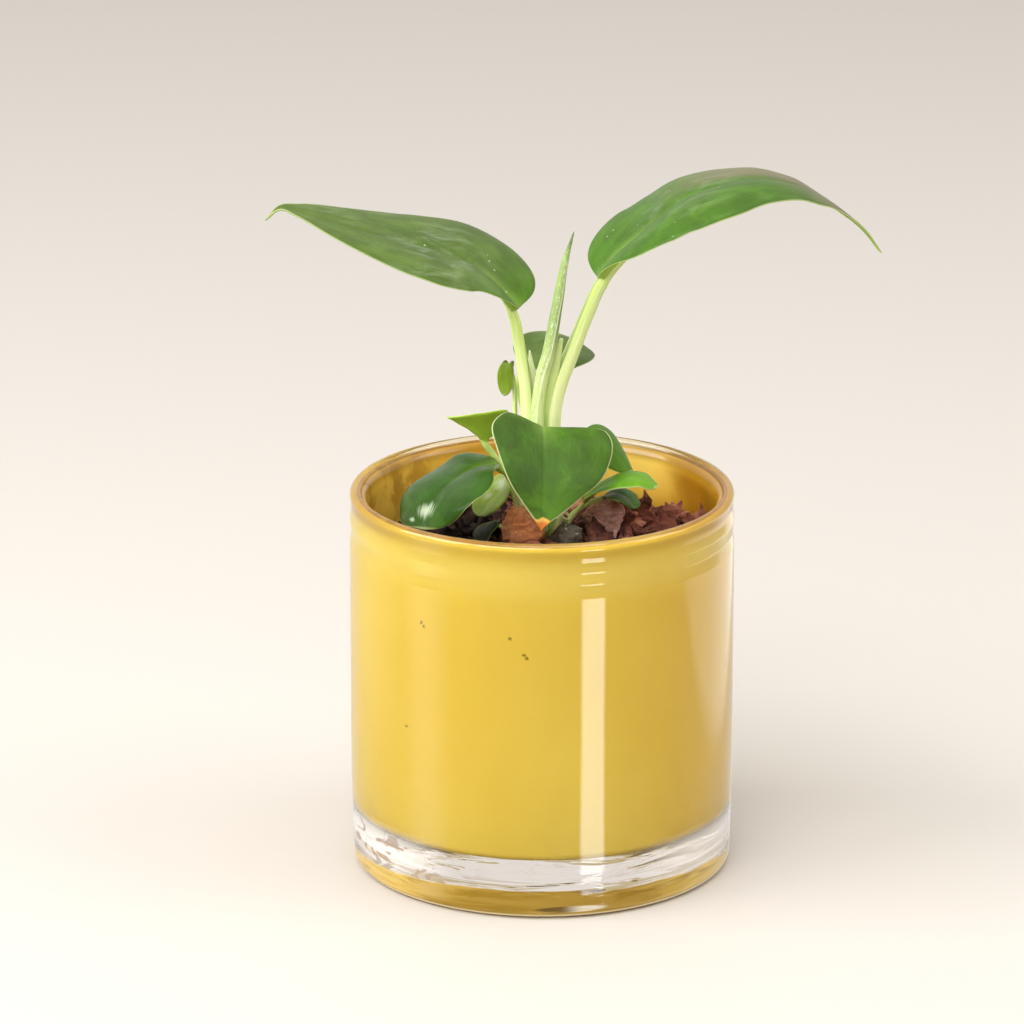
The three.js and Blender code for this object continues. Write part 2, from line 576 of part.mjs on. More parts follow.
export default plant;
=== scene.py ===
"""Finishes a young aroid house plant that grows in bark mix in a heavy cased glass pot.

Sizes are written in millimetres in the plant's own frame, with +Z up and the pot's base centre at the
origin, and become metres where a mesh is made. Spans in the finishes of glass and bark, and the studio's
sizes, are in metres.
"""
from __future__ import annotations

import logging
import math
from dataclasses import dataclass, field
from enum import Enum
from functools import reduce
from typing import Callable, Sequence

import bmesh
import bpy
import numpy as np
from mathutils import Matrix, Vector, noise


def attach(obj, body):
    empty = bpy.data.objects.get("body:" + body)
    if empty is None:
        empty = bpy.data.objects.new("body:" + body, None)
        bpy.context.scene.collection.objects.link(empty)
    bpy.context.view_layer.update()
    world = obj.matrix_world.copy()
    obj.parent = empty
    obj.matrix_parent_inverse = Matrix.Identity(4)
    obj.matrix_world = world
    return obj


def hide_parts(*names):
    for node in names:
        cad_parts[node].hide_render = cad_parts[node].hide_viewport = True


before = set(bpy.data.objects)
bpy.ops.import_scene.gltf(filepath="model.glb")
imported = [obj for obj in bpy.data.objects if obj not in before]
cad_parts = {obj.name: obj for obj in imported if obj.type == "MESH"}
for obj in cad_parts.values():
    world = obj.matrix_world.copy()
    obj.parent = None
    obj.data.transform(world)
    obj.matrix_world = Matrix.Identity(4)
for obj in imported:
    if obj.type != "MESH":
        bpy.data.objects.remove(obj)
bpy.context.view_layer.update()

LOG = logging.getLogger("plant")
MM = 0.001
BODY = "root"
Point = Sequence[float]
Tint = tuple[float, float, float]
Span = tuple[float, float]


class Slot(Enum):
    """The record's material slot names, which the leaves and chips are listed with."""

    CLEAR_GLASS = "clear_glass"
    YELLOW_GLASS = "yellow_glass"
    MEDIUM = "growing_medium"
    BARK = "bark"
    MOSSY_BARK = "mossy_bark"
    PETIOLE = "petiole"
    LEAF = "leaf"
    YOUNG_LEAF = "young_leaf"


def linear(tint: Tint) -> tuple[float, float, float, float]:
    """Turns a display colour of 0 to 255 into a shader colour.

    Args:
        tint: red, green and blue as a screen shows them.

    Returns:
        The same colour in linear light, with full alpha.
    """
    shares = [value / 255 for value in tint]
    return (*[s / 12.92 if s <= 0.04045 else ((s + 0.055) / 1.055) ** 2.4 for s in shares], 1.0)


class NodeWriter:
    """Writes nodes and their links into a shader tree or a geometry tree."""

    def __init__(self, tree: bpy.types.NodeTree) -> None:
        """Keeps the tree that the nodes go into."""
        self.tree = tree

    def node(self, kind: str, inputs: dict | None = None, **settings: object) -> bpy.types.Node:
        """Adds one node.

        Args:
            kind: the node's type name.
            inputs: socket name or number to a value, or to the socket that feeds it.
            **settings: the node's own properties.

        Returns:
            The new node.
        """
        made = self.tree.nodes.new(kind)
        for name, value in settings.items():
            setattr(made, name, value)
        for key, value in (inputs or {}).items():
            socket = made.inputs[key]
            if isinstance(value, bpy.types.NodeSocket):
                self.tree.links.new(value, socket)
            else:
                socket.default_value = value
        return made

    def calc(self, operation: str, first: object, second: object = 0.0) -> bpy.types.NodeSocket:
        """Returns the result of one Math node."""
        return self.node("ShaderNodeMath", {0: first, 1: second}, operation=operation).outputs[0]

    def times(self, *factors: object) -> object:
        """Returns the product of its factors."""
        return reduce(lambda product, factor: self.calc("MULTIPLY", product, factor), factors)

    def plus(self, first: object, second: object) -> bpy.types.NodeSocket:
        """Returns a sum."""
        return self.calc("ADD", first, second)

    def less(self, first: object, second: object) -> bpy.types.NodeSocket:
        """Returns the first value less the second."""
        return self.calc("SUBTRACT", first, second)

    def size(self, value: object) -> bpy.types.NodeSocket:
        """Returns a value without its sign."""
        return self.calc("ABSOLUTE", value)

    def offset(self, value: object, middle: float, reach: float) -> bpy.types.NodeSocket:
        """Returns how far a value lies from a middle, counted in reaches."""
        return self.calc("DIVIDE", self.less(value, middle), reach)

    def vector_calc(self, operation: str, first: object, second: object) -> bpy.types.Node:
        """Returns one Vector Math node."""
        return self.node("ShaderNodeVectorMath", {0: first, 1: second}, operation=operation)

    def stretch(self, vector: bpy.types.NodeSocket, scale: Point) -> bpy.types.NodeSocket:
        """Returns a vector with each part multiplied."""
        return self.vector_calc("MULTIPLY", vector, tuple(scale)).outputs["Vector"]

    def split(self, vector: bpy.types.NodeSocket) -> list[bpy.types.NodeSocket]:
        """Returns the three parts of a vector."""
        return list(self.node("ShaderNodeSeparateXYZ", {0: vector}).outputs)

    def join(self, x: object, y: object, z: object) -> bpy.types.NodeSocket:
        """Returns a vector made of three parts."""
        return self.node("ShaderNodeCombineXYZ", {0: x, 1: y, 2: z}).outputs[0]

    def length(self, x: object, y: object) -> bpy.types.NodeSocket:
        """Returns the length of a flat vector."""
        return self.vector_calc("LENGTH", self.join(x, y, 0.0), (0, 0, 0)).outputs["Value"]

    def scaled(self, vector: object, scale: object) -> bpy.types.NodeSocket:
        """Returns a vector made longer or shorter."""
        return self.node("ShaderNodeVectorMath", {0: vector, "Scale": scale}, operation="SCALE").outputs[0]

    def ease(self, value: object, start: object, end: object) -> bpy.types.NodeSocket:
        """Returns a smooth step from 0 at start to 1 at end."""
        ends = {0: value, 1: start, 2: end, 3: 0.0, 4: 1.0}
        return self.node("ShaderNodeMapRange", ends, interpolation_type="SMOOTHSTEP").outputs[0]

    def scale_to(self, value: object, low: float, high: float) -> bpy.types.NodeSocket:
        """Returns a value of 0 to 1 moved into the range from low to high."""
        return self.node("ShaderNodeMapRange", {0: value, 3: low, 4: high}).outputs[0]

    def blend(self, share: object, first: object, second: object) -> bpy.types.NodeSocket:
        """Returns a colour between two, by a share of 0 to 1."""
        made = self.node("ShaderNodeMix", {0: share, 6: first, 7: second}, data_type="RGBA")
        return made.outputs[2]

    def paint(self, under: object, tint: Tint, *shares: object) -> bpy.types.NodeSocket:
        """Returns a colour painted over with a display colour, by the product of some shares."""
        return self.blend(self.times(*shares), under, linear(tint))

    def ramp(self, value: object, stops: Sequence[tuple[float, Tint]]) -> bpy.types.NodeSocket:
        """Returns a colour from a ramp.

        Args:
            value: where on the ramp, from 0 to 1.
            stops: places on the ramp and their display colours.

        Returns:
            The colour socket.
        """
        made = self.node("ShaderNodeValToRGB", {0: value})
        band = made.color_ramp
        band.interpolation = "EASE"
        (first, start), *between, (last, end) = stops
        band.elements[0].position, band.elements[1].position = first, last
        band.elements[0].color, band.elements[1].color = linear(start), linear(end)
        for place, tint in between:
            band.elements.new(place).color = linear(tint)
        return made.outputs[0]

    def clouds(self, vector: object, scale: float, detail: float = 3.0, roughness: float = 0.5,
               distortion: float = 0.0) -> bpy.types.NodeSocket:
        """Returns a noise value around 0.5 at a vector."""
        settings = {"Vector": vector, "Scale": scale, "Detail": detail, "Roughness": roughness,
                    "Distortion": distortion}
        return self.node("ShaderNodeTexNoise", settings).outputs[0]

    def cells(self, vector: object, scale: float, feature: str = "F1") -> bpy.types.NodeSocket:
        """Returns the distance of a Voronoi texture at a vector."""
        made = self.node("ShaderNodeTexVoronoi", {"Vector": vector, "Scale": scale}, feature=feature)
        return made.outputs["Distance"]

    def place(self) -> bpy.types.NodeSocket:
        """Returns the point on the object in metres."""
        return self.node("ShaderNodeTexCoord").outputs["Object"]

    def trait(self, name: str, output: str = "Fac") -> bpy.types.NodeSocket:
        """Returns an attribute of the piece's own mesh."""
        return self.node("ShaderNodeAttribute", attribute_name=name).outputs[output]

    def named(self, name: str, kind: str = "FLOAT") -> bpy.types.NodeSocket:
        """Returns a named attribute in a geometry tree."""
        return self.node("GeometryNodeInputNamedAttribute", {0: name}, data_type=kind).outputs[0]

    def relief(self, height: object, depth: float) -> bpy.types.NodeSocket:
        """Returns a normal with a height from 0 to 1 pressed in to a depth in millimetres."""
        return self.node("ShaderNodeBump", {"Height": height, "Distance": depth * MM}).outputs[0]


class Finish:
    """A surface finish that writes its material once."""

    name: str

    def material(self) -> bpy.types.Material:
        """Writes the finish's material the first time.

        Returns:
            The material.
        """
        made = bpy.data.materials.get(self.name)
        if made is None:
            made = bpy.data.materials.new(self.name)
            made.use_nodes = True
            made.node_tree.nodes.clear()
            writer = NodeWriter(made.node_tree)
            shader = writer.node("ShaderNodeBsdfPrincipled", self.sockets(writer))
            writer.node("ShaderNodeOutputMaterial", {"Surface": shader.outputs[0]})
        return made

    def sockets(self, w: NodeWriter) -> dict[str, object]:
        """Returns the shader's sockets; each finish has its own."""
        raise NotImplementedError


@dataclass(frozen=True)
class LeafFinish(Finish):
    """Smooth leathery leaf skin with a soft pale rib, fine long veins and a pale margin."""

    name: str
    base: Tint
    middle: Tint
    tip: Tint
    under: Tint
    rib: Tint = (162, 190, 96)
    margin: Tint = (196, 206, 138)
    rib_width: float = 1.6
    rib_show: float = 0.55
    rib_reach: float = 0.7
    margin_width: float = 0.4
    margin_show: float = 0.6
    veins: float = 0.04
    scuffs: float = 0.0
    # Painted highlights: pale shining patches painted into the colour, each by place along and across and
    # half length and width.
    painted_glints: tuple[tuple[float, float, float, float], ...] = ()
    burnt: Tint | None = None
    roughness: float = 0.4
    gloss: float = 0.2
    lanes: float = 0.4
    mottle: float = 0.45
    # Painted sheen: a greyish patch painted on one half of the blade for a broad reflection.
    painted_sheen: Tint | None = None
    rub_tint: Tint = (146, 158, 128)
    fleck_tint: Tint = (206, 216, 180)
    glint_tint: Tint = (206, 218, 188)
    dry_tint: Tint = (226, 178, 84)
    tip_starts: float = 0.925
    tip_dries: float = 0.94
    tip_burns: float = 0.975

    def tissue(self, w: NodeWriter, share: object, side: object) -> tuple[object, object]:
        """Colours the blade's flesh.

        Args:
            w: the writer.
            share: how far along the blade, from 0 to 1.
            side: how far towards the margin, from -1 to 1.

        Returns:
            The flesh colour and the fine long veins as a height.
        """
        flesh = w.ramp(share, [(0.0, self.base), (0.32, self.middle), (0.6, self.middle), (0.9, self.tip)])
        lane = w.plus(side, w.times(w.clouds(w.place(), 45, 2), 0.16))
        broad = w.clouds(w.join(w.times(lane, 3.2), w.times(share, 3.0), 0.0), 1, 3)
        cloudy = w.clouds(w.place(), 110, 4, 0.6, 0.4)
        lighter = tuple(min(255, value * 1.2 + 6) for value in self.middle)
        darker = tuple(value * 0.84 for value in self.middle)
        for noise_value, bright, dim, strength in ((broad, (0.5, 0.7), (0.48, 0.3), self.lanes),
                                                   (cloudy, (0.5, 0.68), (0.5, 0.34), self.mottle)):
            flesh = w.paint(flesh, lighter, w.ease(noise_value, *bright), strength)
            flesh = w.paint(flesh, darker, w.ease(noise_value, *dim), strength)
        fine = w.clouds(w.join(w.times(lane, 21.0), w.times(share, 1.7), 0.0), 1, 3, 0.6)
        veins = w.ease(fine, 0.46, 0.7)
        flesh = w.paint(flesh, self.rib, veins, self.veins)
        return flesh, veins

    def rubbing(self, w: NodeWriter, share: object, side: object) -> object:
        """Masks where the wax is rubbed grey, in long patches.

        Args:
            w: the writer.
            share: how far along the blade, from 0 to 1.
            side: how far towards the margin, from -1 to 1.

        Returns:
            How strongly it is rubbed.
        """
        long = w.clouds(w.join(w.times(side, 3.4), w.times(share, 7.5), 0.7), 1, 5, 0.72, 0.6)
        patch = w.clouds(w.join(w.times(side, 1.5), w.times(share, 3.0), 3.3), 1, 2)
        worn = w.times(w.ease(long, 0.42, 0.72), w.ease(patch, 0.38, 0.6))
        inner = w.times(w.ease(share, 0.2, 0.42), w.ease(share, 0.98, 0.7))
        return w.times(worn, inner, self.scuffs)

    @staticmethod
    def glint_patch(w: NodeWriter, share: object, side: object, patch: Point) -> object:
        """Masks one painted highlight: a pale shining patch painted into the leaf's colour.

        Args:
            w: the writer.
            share: how far along the blade, from 0 to 1.
            side: how far towards the margin, from -1 to 1.
            patch: its place along and across the blade, and its half length and half width there.

        Returns:
            The mask, broken into streaks at its edge.
        """
        along = w.offset(share, patch[0], patch[2])
        across = w.offset(side, patch[1], patch[3])
        gap = w.length(along, across)
        torn = w.clouds(w.join(w.times(side, 14.0), w.times(share, 5.0), patch[0]), 1, 4, 0.65)
        ragged = w.plus(gap, w.times(w.less(torn, 0.5), 2.4))
        return w.times(w.ease(ragged, 1.0, 0.1), 0.6)

    def sockets(self, w: NodeWriter) -> dict[str, object]:
        """Makes colour, roughness and relief that follow the leaf's rib, veins and margin.

        Args:
            w: the writer.

        Returns:
            Socket name to value.
        """
        place = w.place()
        share, level, _ = w.split(w.node("ShaderNodeUVMap", uv_map="blade").outputs[0])
        side = w.times(w.less(level, 0.5), 2.0)
        _, across, edge = w.split(w.trait("leaf_place", "Vector"))
        skin, veins = self.tissue(w, share, side)
        off_rib = w.size(across)
        narrowing = w.scale_to(share, self.rib_width, self.rib_width * 0.2)
        fade = w.ease(share, self.rib_reach, 0.05)
        glow = w.times(w.ease(off_rib, w.times(narrowing, 2.8), 0.0), 0.5)
        core = w.times(w.ease(off_rib, narrowing, 0.0), 0.8)
        rib = w.times(w.calc("MAXIMUM", glow, core), fade, self.rib_show)
        skin = w.paint(skin, self.rib, rib)
        # Painted sheen: a greyish patch on one half, from a third of the length outwards, broken by clouds.
        if self.painted_sheen is not None:
            far = w.times(w.ease(share, 0.32, 0.56), w.ease(side, 0.0, -0.42))
            far = w.times(far, w.scale_to(w.clouds(place, 80, 4, 0.6), 0.5, 1.0))
            skin = w.paint(skin, self.painted_sheen, far)
        rubbed: object = 0.0
        if self.scuffs:
            rubbed = self.rubbing(w, share, side)
            skin = w.paint(skin, self.rub_tint, rubbed)
            flecks = w.times(w.ease(w.cells(place, 250), 0.1, 0.05),
                             w.ease(w.clouds(place, 60, 1), 0.52, 0.58))
            skin = w.paint(skin, self.fleck_tint, flecks, self.scuffs)
        # Painted highlights: pale glints painted over the skin.
        for patch in self.painted_glints:
            skin = w.paint(skin, self.glint_tint, self.glint_patch(w, share, side, patch))
        rim = w.ease(edge, self.margin_width, self.margin_width * 0.3)
        skin = w.paint(skin, self.margin, rim, self.margin_show)
        if self.burnt is not None:
            ragged = w.plus(share, w.times(w.clouds(place, 420, 3), 0.04))
            skin = w.paint(skin, self.dry_tint, w.ease(ragged, self.tip_starts, self.tip_dries))
            skin = w.paint(skin, self.burnt, w.ease(ragged, self.tip_dries, self.tip_burns))
        skin = w.blend(w.trait("upper"), linear(self.under), skin)
        gloss = w.plus(w.scale_to(w.clouds(place, 140, 3), self.roughness - 0.06, self.roughness + 0.06),
                       w.times(rubbed, 0.2))
        relief = w.plus(w.times(veins, 0.6), w.times(w.clouds(place, 700, 3), 0.4))
        return {"Base Color": skin, "Roughness": gloss, "Specular IOR Level": self.gloss,
                "Normal": w.relief(relief, 0.07)}


@dataclass(frozen=True)
class PetioleFinish(Finish):
    """Juicy leaf stalk: pale at its foot, greener upwards, with fine long streaks."""

    name: str
    foot: Tint = (232, 242, 172)
    middle: Tint = (232, 242, 170)
    top: Tint = (200, 221, 120)
    strand: Tint = (186, 214, 112)
    pale_strand: Tint = (242, 248, 206)
    # Darker green painted as shade in the stalk's channel.
    channel: Tint = (126, 152, 60)
    fleck: Tint = (238, 246, 200)
    roughness: float = 0.33

    def sockets(self, w: NodeWriter) -> dict[str, object]:
        """Makes colour and relief that run along the stalk.

        Args:
            w: the writer.

        Returns:
            Socket name to value.
        """
        run = w.trait("run")
        tissue = w.ramp(run, [(0.0, self.foot), (0.5, self.middle), (1.0, self.top)])
        side_x, side_y, _ = w.split(w.trait("around", "Vector"))
        strands = w.join(w.times(side_x, 2.6), w.times(side_y, 2.6), w.times(w.trait("reach"), 0.05))
        fibre = w.clouds(strands, 1, 3, 0.6)
        tissue = w.paint(tissue, self.strand, w.ease(fibre, 0.48, 0.74), 0.35)
        tissue = w.paint(tissue, self.pale_strand, w.ease(fibre, 0.52, 0.3), 0.4)
        # Painted shade: the stalk's channel side is painted darker green, less so towards its foot.
        groove = w.times(w.ease(side_x, 0.72, 0.98), w.scale_to(w.ease(run, 0.45, 0.7), 0.3, 1.0))
        tissue = w.paint(tissue, self.channel, groove, 0.6)
        flecks = w.less(1.0, w.ease(w.cells(w.place(), 520), 0.08, 0.16))
        tissue = w.paint(tissue, self.fleck, flecks, 0.25)
        return {"Base Color": tissue, "Roughness": self.roughness, "Subsurface Weight": 0.12,
                "Subsurface Radius": (0.0012, 0.0016, 0.0004), "Subsurface Scale": 1.0,
                "Normal": w.relief(fibre, 0.12)}


@dataclass(frozen=True)
class ShootFinish(Finish):
    """Rolled new leaf: light green with pale streaks, with painted shade along its rolled free edge and
    painted glints beside it.
    """

    name: str = "rolled_leaf_skin"
    foot: Tint = (208, 226, 146)
    body: Tint = (160, 184, 108)
    point: Tint = (98, 122, 54)
    stripe: Tint = (112, 154, 66)
    shade: Tint = (92, 116, 50)
    edge: Tint = (226, 236, 196)
    glint: Tint = (240, 248, 224)

    def sockets(self, w: NodeWriter) -> dict[str, object]:
        """Makes colour and relief that follow the roll.

        Args:
            w: the writer.

        Returns:
            Socket name to value.
        """
        run = w.trait("run")
        turn = w.trait("turn")
        reach = w.trait("reach")
        tissue = w.ramp(run, [(0.0, self.foot), (0.45, self.foot), (0.72, self.body), (0.9, self.body),
                              (0.97, self.point)])
        lines = w.clouds(w.join(w.times(turn, 14.0), w.times(reach, 0.12), 0.0), 1, 3)
        tissue = w.paint(tissue, self.stripe, w.ease(lines, 0.48, 0.7), 0.4)
        # Painted shade: the rolled side of the seam is painted dark olive towards the point.
        rolled = w.times(w.ease(turn, 0.78, 0.9), w.ease(run, 0.55, 0.72))
        tissue = w.paint(tissue, self.shade, rolled, 0.75)
        lip = w.ease(turn, 0.955, 0.985)
        tissue = w.paint(tissue, self.edge, lip, 0.8)
        # Painted highlights: white glints on the other side of the seam.
        torn = w.clouds(w.join(w.times(turn, 30.0), w.times(reach, 0.5), 4.0), 1, 3, 0.7)
        glints = w.times(w.ease(torn, 0.54, 0.63), w.ease(turn, 0.34, 0.0))
        tissue = w.paint(tissue, self.glint, glints)
        return {"Base Color": tissue, "Roughness": 0.3, "Normal": w.relief(lines, 0.14)}


@dataclass(frozen=True)
class ClearGlassFinish(Finish):
    """Thick clear glass, still and slightly wavy from hand work."""

    name: str = "thick_clear_glass"
    warm_reflection_tint: Tint = (253, 247, 243)
    reflected_line_tint: Tint = (180, 154, 92)
    amber: Tint = (246, 226, 158)
    gold: Tint = (212, 178, 86)
    deep_gold: Tint = (156, 122, 34)
    base_highlight: Tint = (246, 220, 142)
    brown_reflection: Tint = (150, 112, 70)
    foot_top: Span = (0.014, 0.021)
    rim_edge: Span = (0.1082, 0.1096)
    streak_top: Span = (0.0125, 0.0095)
    heel_edge: Span = (0.0519, 0.0523)
    heel_top: Span = (0.0038, 0.0795)
    line_top: Span = (0.0016, 0.0006)
    lens_at: Span = (0.0085, 0.0027)
    lens_reach: Span = (0.0115, 0.0011)
    lens_dark_reflection: Tint = (98, 76, 32)
    lens_highlight: Tint = (240, 230, 206)
    cheek_side: Span = (0.024, 0.044)
    cheek_top: Span = (0.005, 0.011)

    def sockets(self, w: NodeWriter) -> dict[str, object]:
        """Makes clear glass whose amber rim, streaked foot and gold where it bends to its base are painted
        reflections and highlights.

        Args:
            w: the writer.

        Returns:
            Socket name to value.
        """
        place = w.place()
        side, depth, height = w.split(place)
        wall = w.clouds(w.stretch(place, (1.0, 1.0, 0.35)), 26, 2)
        waves = w.clouds(w.stretch(place, (1.0, 1.0, 6.0)), 26, 3, 0.5, 0.6)
        at_foot = w.less(1.0, w.ease(height, *self.foot_top))
        surface = w.node("ShaderNodeMix", {0: at_foot, 2: w.times(wall, 0.16), 3: w.times(waves, 0.42)})
        # Painted reflection: the foot takes a pale warm cast.
        tint = w.paint(linear((253, 254, 252)), self.warm_reflection_tint, at_foot)
        # Painted reflection: amber on the clear lip stands in for the yellow seen through it and brown
        # reflections, weaker at the front.
        lip_reflection = w.times(w.scale_to(w.clouds(place, 60, 3), 0.4, 1.0),
                         w.scale_to(w.ease(depth, -0.05, -0.02), 0.5, 1.0))
        tint = w.paint(tint, self.amber, w.ease(height, *self.rim_edge), lip_reflection)
        # Painted reflections: thin tan lines across the foot, fainter towards the sides.
        reflected_lines = w.clouds(w.stretch(place, (1.0, 1.0, 26.0)), 24, 4, 0.6, 0.8)
        reflected_lines = w.times(w.ease(reflected_lines, 0.48, 0.55), w.ease(height, *self.streak_top))
        reflected_lines = w.times(reflected_lines, w.scale_to(w.ease(w.size(side), 0.044, 0.024), 0.45, 1.0))
        tint = w.paint(tint, self.reflected_line_tint, reflected_lines, at_foot)
        # Painted reflections: brown marks on the left of the foot.
        brown_reflections = w.clouds(w.stretch(place, (1.0, 1.0, 2.4)), 95, 3, 0.6, 1.2)
        brown_reflections = w.times(w.ease(brown_reflections, 0.55, 0.62), w.ease(side, -0.012, -0.034))
        tint = w.paint(tint, self.brown_reflection, brown_reflections, at_foot, 0.7)
        # Painted reflection: gold where the wall bends into the foot stands in for the yellow layer
        # mirrored in the glass, with deeper gold painted at the front.
        bent = w.plus(height, w.times(w.less(waves, 0.5), 0.006))
        reach = w.scale_to(w.size(depth), *self.heel_top)
        radius = w.length(side, depth)
        heel = w.times(w.ease(bent, w.plus(reach, 0.0009), reach), w.ease(radius, *self.heel_edge))
        glow = w.ramp(w.clouds(w.stretch(place, (1.0, 1.0, 9.0)), 34, 3, 0.6, 0.6),
                      [(0.32, self.deep_gold), (0.56, self.gold)])
        front = w.times(w.ease(w.size(depth), 0.034, 0.054), 0.75)
        glow = w.paint(glow, self.deep_gold, front)
        # Painted highlight: a bright line along the bottom edge.
        glow = w.paint(glow, self.base_highlight, w.ease(height, *self.line_top))
        # Painted reflection: a dark lens-shaped spot low on the front of the foot, with a highlight on its
        # right.
        along = w.offset(side, self.lens_at[0], self.lens_reach[0])
        above = w.offset(height, self.lens_at[1], self.lens_reach[1])
        lens = w.times(w.ease(w.length(along, above), 1.0, 0.7), w.ease(depth, 0.0, -0.02))
        inside = w.paint(linear(self.lens_dark_reflection), self.lens_highlight, w.ease(along, -0.3, 0.35))
        glow = w.blend(w.times(lens, 0.85), glow, inside)
        tint = w.blend(heel, tint, glow)
        # The heel and the foot's sides let less light through, so the painted tints show as surface colour.
        cheek = w.times(w.ease(w.size(side), *self.cheek_side), w.ease(bent, *self.cheek_top))
        cheek = w.times(cheek, at_foot, w.scale_to(waves, 0.45, 0.85))
        clear = w.times(w.scale_to(heel, 1.0, 0.22), w.less(1.0, cheek))
        return {"Base Color": tint, "Roughness": 0.0, "IOR": 1.5, "Transmission Weight": clear,
                "Normal": w.relief(surface.outputs[0], 1.1)}


@dataclass(frozen=True)
class CasedGlassFinish(Finish):
    """Opaque yellow glass as it shows through the clear wall."""

    name: str = "cased_yellow_glass"
    specks: tuple[Point, ...] = ()
    speck_size: float = 0.75
    speck_tint: Tint = (110, 74, 14)
    side_shading: Tint = (240, 196, 80)
    glow: Tint = (255, 234, 124)
    lip: Tint = (196, 156, 58)
    glow_starts: Span = (0.092, 0.098)
    glow_ends: Span = (0.108, 0.103)
    lip_starts: Span = (0.1045, 0.108)

    def sockets(self, w: NodeWriter) -> dict[str, object]:
        """Makes an even yellow with soft clouds and the few specks of the melt, with a painted light band
        under the rim and painted shade on the right side and at the lip.

        Args:
            w: the writer.

        Returns:
            Socket name to value.
        """
        place = w.place()
        tint = w.ramp(w.clouds(place, 16, 3), [(0.3, (241, 209, 82)), (0.7, (247, 219, 98))])
        side, depth, height = w.split(place)
        # Painted shade: the right side is painted deeper and more orange.
        tint = w.paint(tint, self.side_shading, w.ease(side, 0.012, 0.046), 0.5)
        # Painted light: a lighter band below the rim for the bright ring that the shoulder catches.
        band = w.times(w.ease(height, *self.glow_starts), w.ease(height, *self.glow_ends))
        tint = w.paint(tint, self.glow, band, 0.5)
        # Painted shade: the lip is painted tan-brown, less at the front.
        lip = w.times(w.ease(height, *self.lip_starts), w.scale_to(w.clouds(place, 70, 3), 0.5, 1.0))
        lip_shade_share = w.scale_to(w.ease(depth, -0.05, -0.012), 0.25, 0.9)
        tint = w.paint(tint, self.lip, lip, lip_shade_share)
        for speck in self.specks:
            gap = w.vector_calc("DISTANCE", place, tuple(value * MM for value in speck)).outputs["Value"]
            ragged = w.plus(gap, w.times(w.clouds(place, 1500, 2), 0.0012))
            spot = w.less(1.0, w.ease(ragged, self.speck_size * MM, self.speck_size * 1.7 * MM))
            tint = w.paint(tint, self.speck_tint, spot, 0.8)
        return {"Base Color": tint, "Roughness": 0.6, "Specular IOR Level": 0.0}


@dataclass(frozen=True)
class BareYellowGlassFinish(Finish):
    """The yellow glass where it lies bare inside the pot: deeper and glossy, with brown mottling, painted
    light and painted shade.
    """

    name: str = "bare_yellow_glass"
    light_patch: Tint = (245, 208, 96)
    side_shading: Tint = (250, 202, 84)
    brown_mottling: Tint = (158, 104, 24)
    painted_shade: Tint = (158, 106, 12)
    low: Tint = (140, 90, 18)
    lip: Tint = (150, 106, 34)
    lip_starts: Span = (0.1055, 0.1085)

    def sockets(self, w: NodeWriter) -> dict[str, object]:
        """Makes amber yellow glass with brown mottling towards one side, painted light on the left and in a
        patch on the right, painted shade on the right and at the lip, and darker towards the bottom.

        Args:
            w: the writer.

        Returns:
            Socket name to value.
        """
        place = w.place()
        side, depth, height = w.split(place)
        clouds = w.clouds(w.stretch(place, (1, 1, 0.5)), 34, 3)
        tint = w.ramp(clouds, [(0.3, (204, 146, 34)), (0.7, (222, 168, 50))])
        # Painted light: a lighter patch on the right of the bare wall, strongest near the top.
        light_patch = w.times(w.ease(side, -0.004, 0.016), w.ease(side, 0.046, 0.03))
        light_patch = w.times(light_patch, w.scale_to(w.ease(height, 0.094, 0.106), 0.35, 1.0))
        tint = w.paint(tint, self.light_patch, light_patch)
        # Painted light: the left of the bare wall is painted lighter.
        left = w.ease(side, -0.012, -0.046)
        tint = w.paint(tint, self.side_shading, left, 0.9)
        # Brown mottling towards the left.
        brown_mottling = w.ease(w.clouds(w.stretch(place, (1, 1, 0.7)), 105, 5, 0.66), 0.47, 0.62)
        tint = w.paint(tint, self.brown_mottling, brown_mottling, left, 0.65)
        # Painted shade: the right of the bare wall is painted dark amber below the rim.
        shade_edge = w.plus(side, w.times(w.clouds(place, 55, 3), 0.02))
        right = w.times(w.ease(shade_edge, 0.042, 0.054), w.ease(height, 0.109, 0.104))
        tint = w.paint(tint, self.painted_shade, right, 0.85)
        tint = w.paint(tint, self.low, w.ease(height, 0.1, 0.09), 0.45)
        # Painted shade: the top of the bare wall and the lip are painted darker, more so away from the
        # front.
        lip = w.times(w.ease(height, *self.lip_starts), w.scale_to(w.clouds(place, 70, 3), 0.5, 1.0))
        tint = w.paint(tint, self.lip, lip, w.scale_to(w.ease(depth, -0.05, -0.02), 0.5, 0.9))
        return {"Base Color": tint, "Roughness": 0.12, "IOR": 1.5,
                "Normal": w.relief(w.clouds(place, 60, 2), 0.25)}


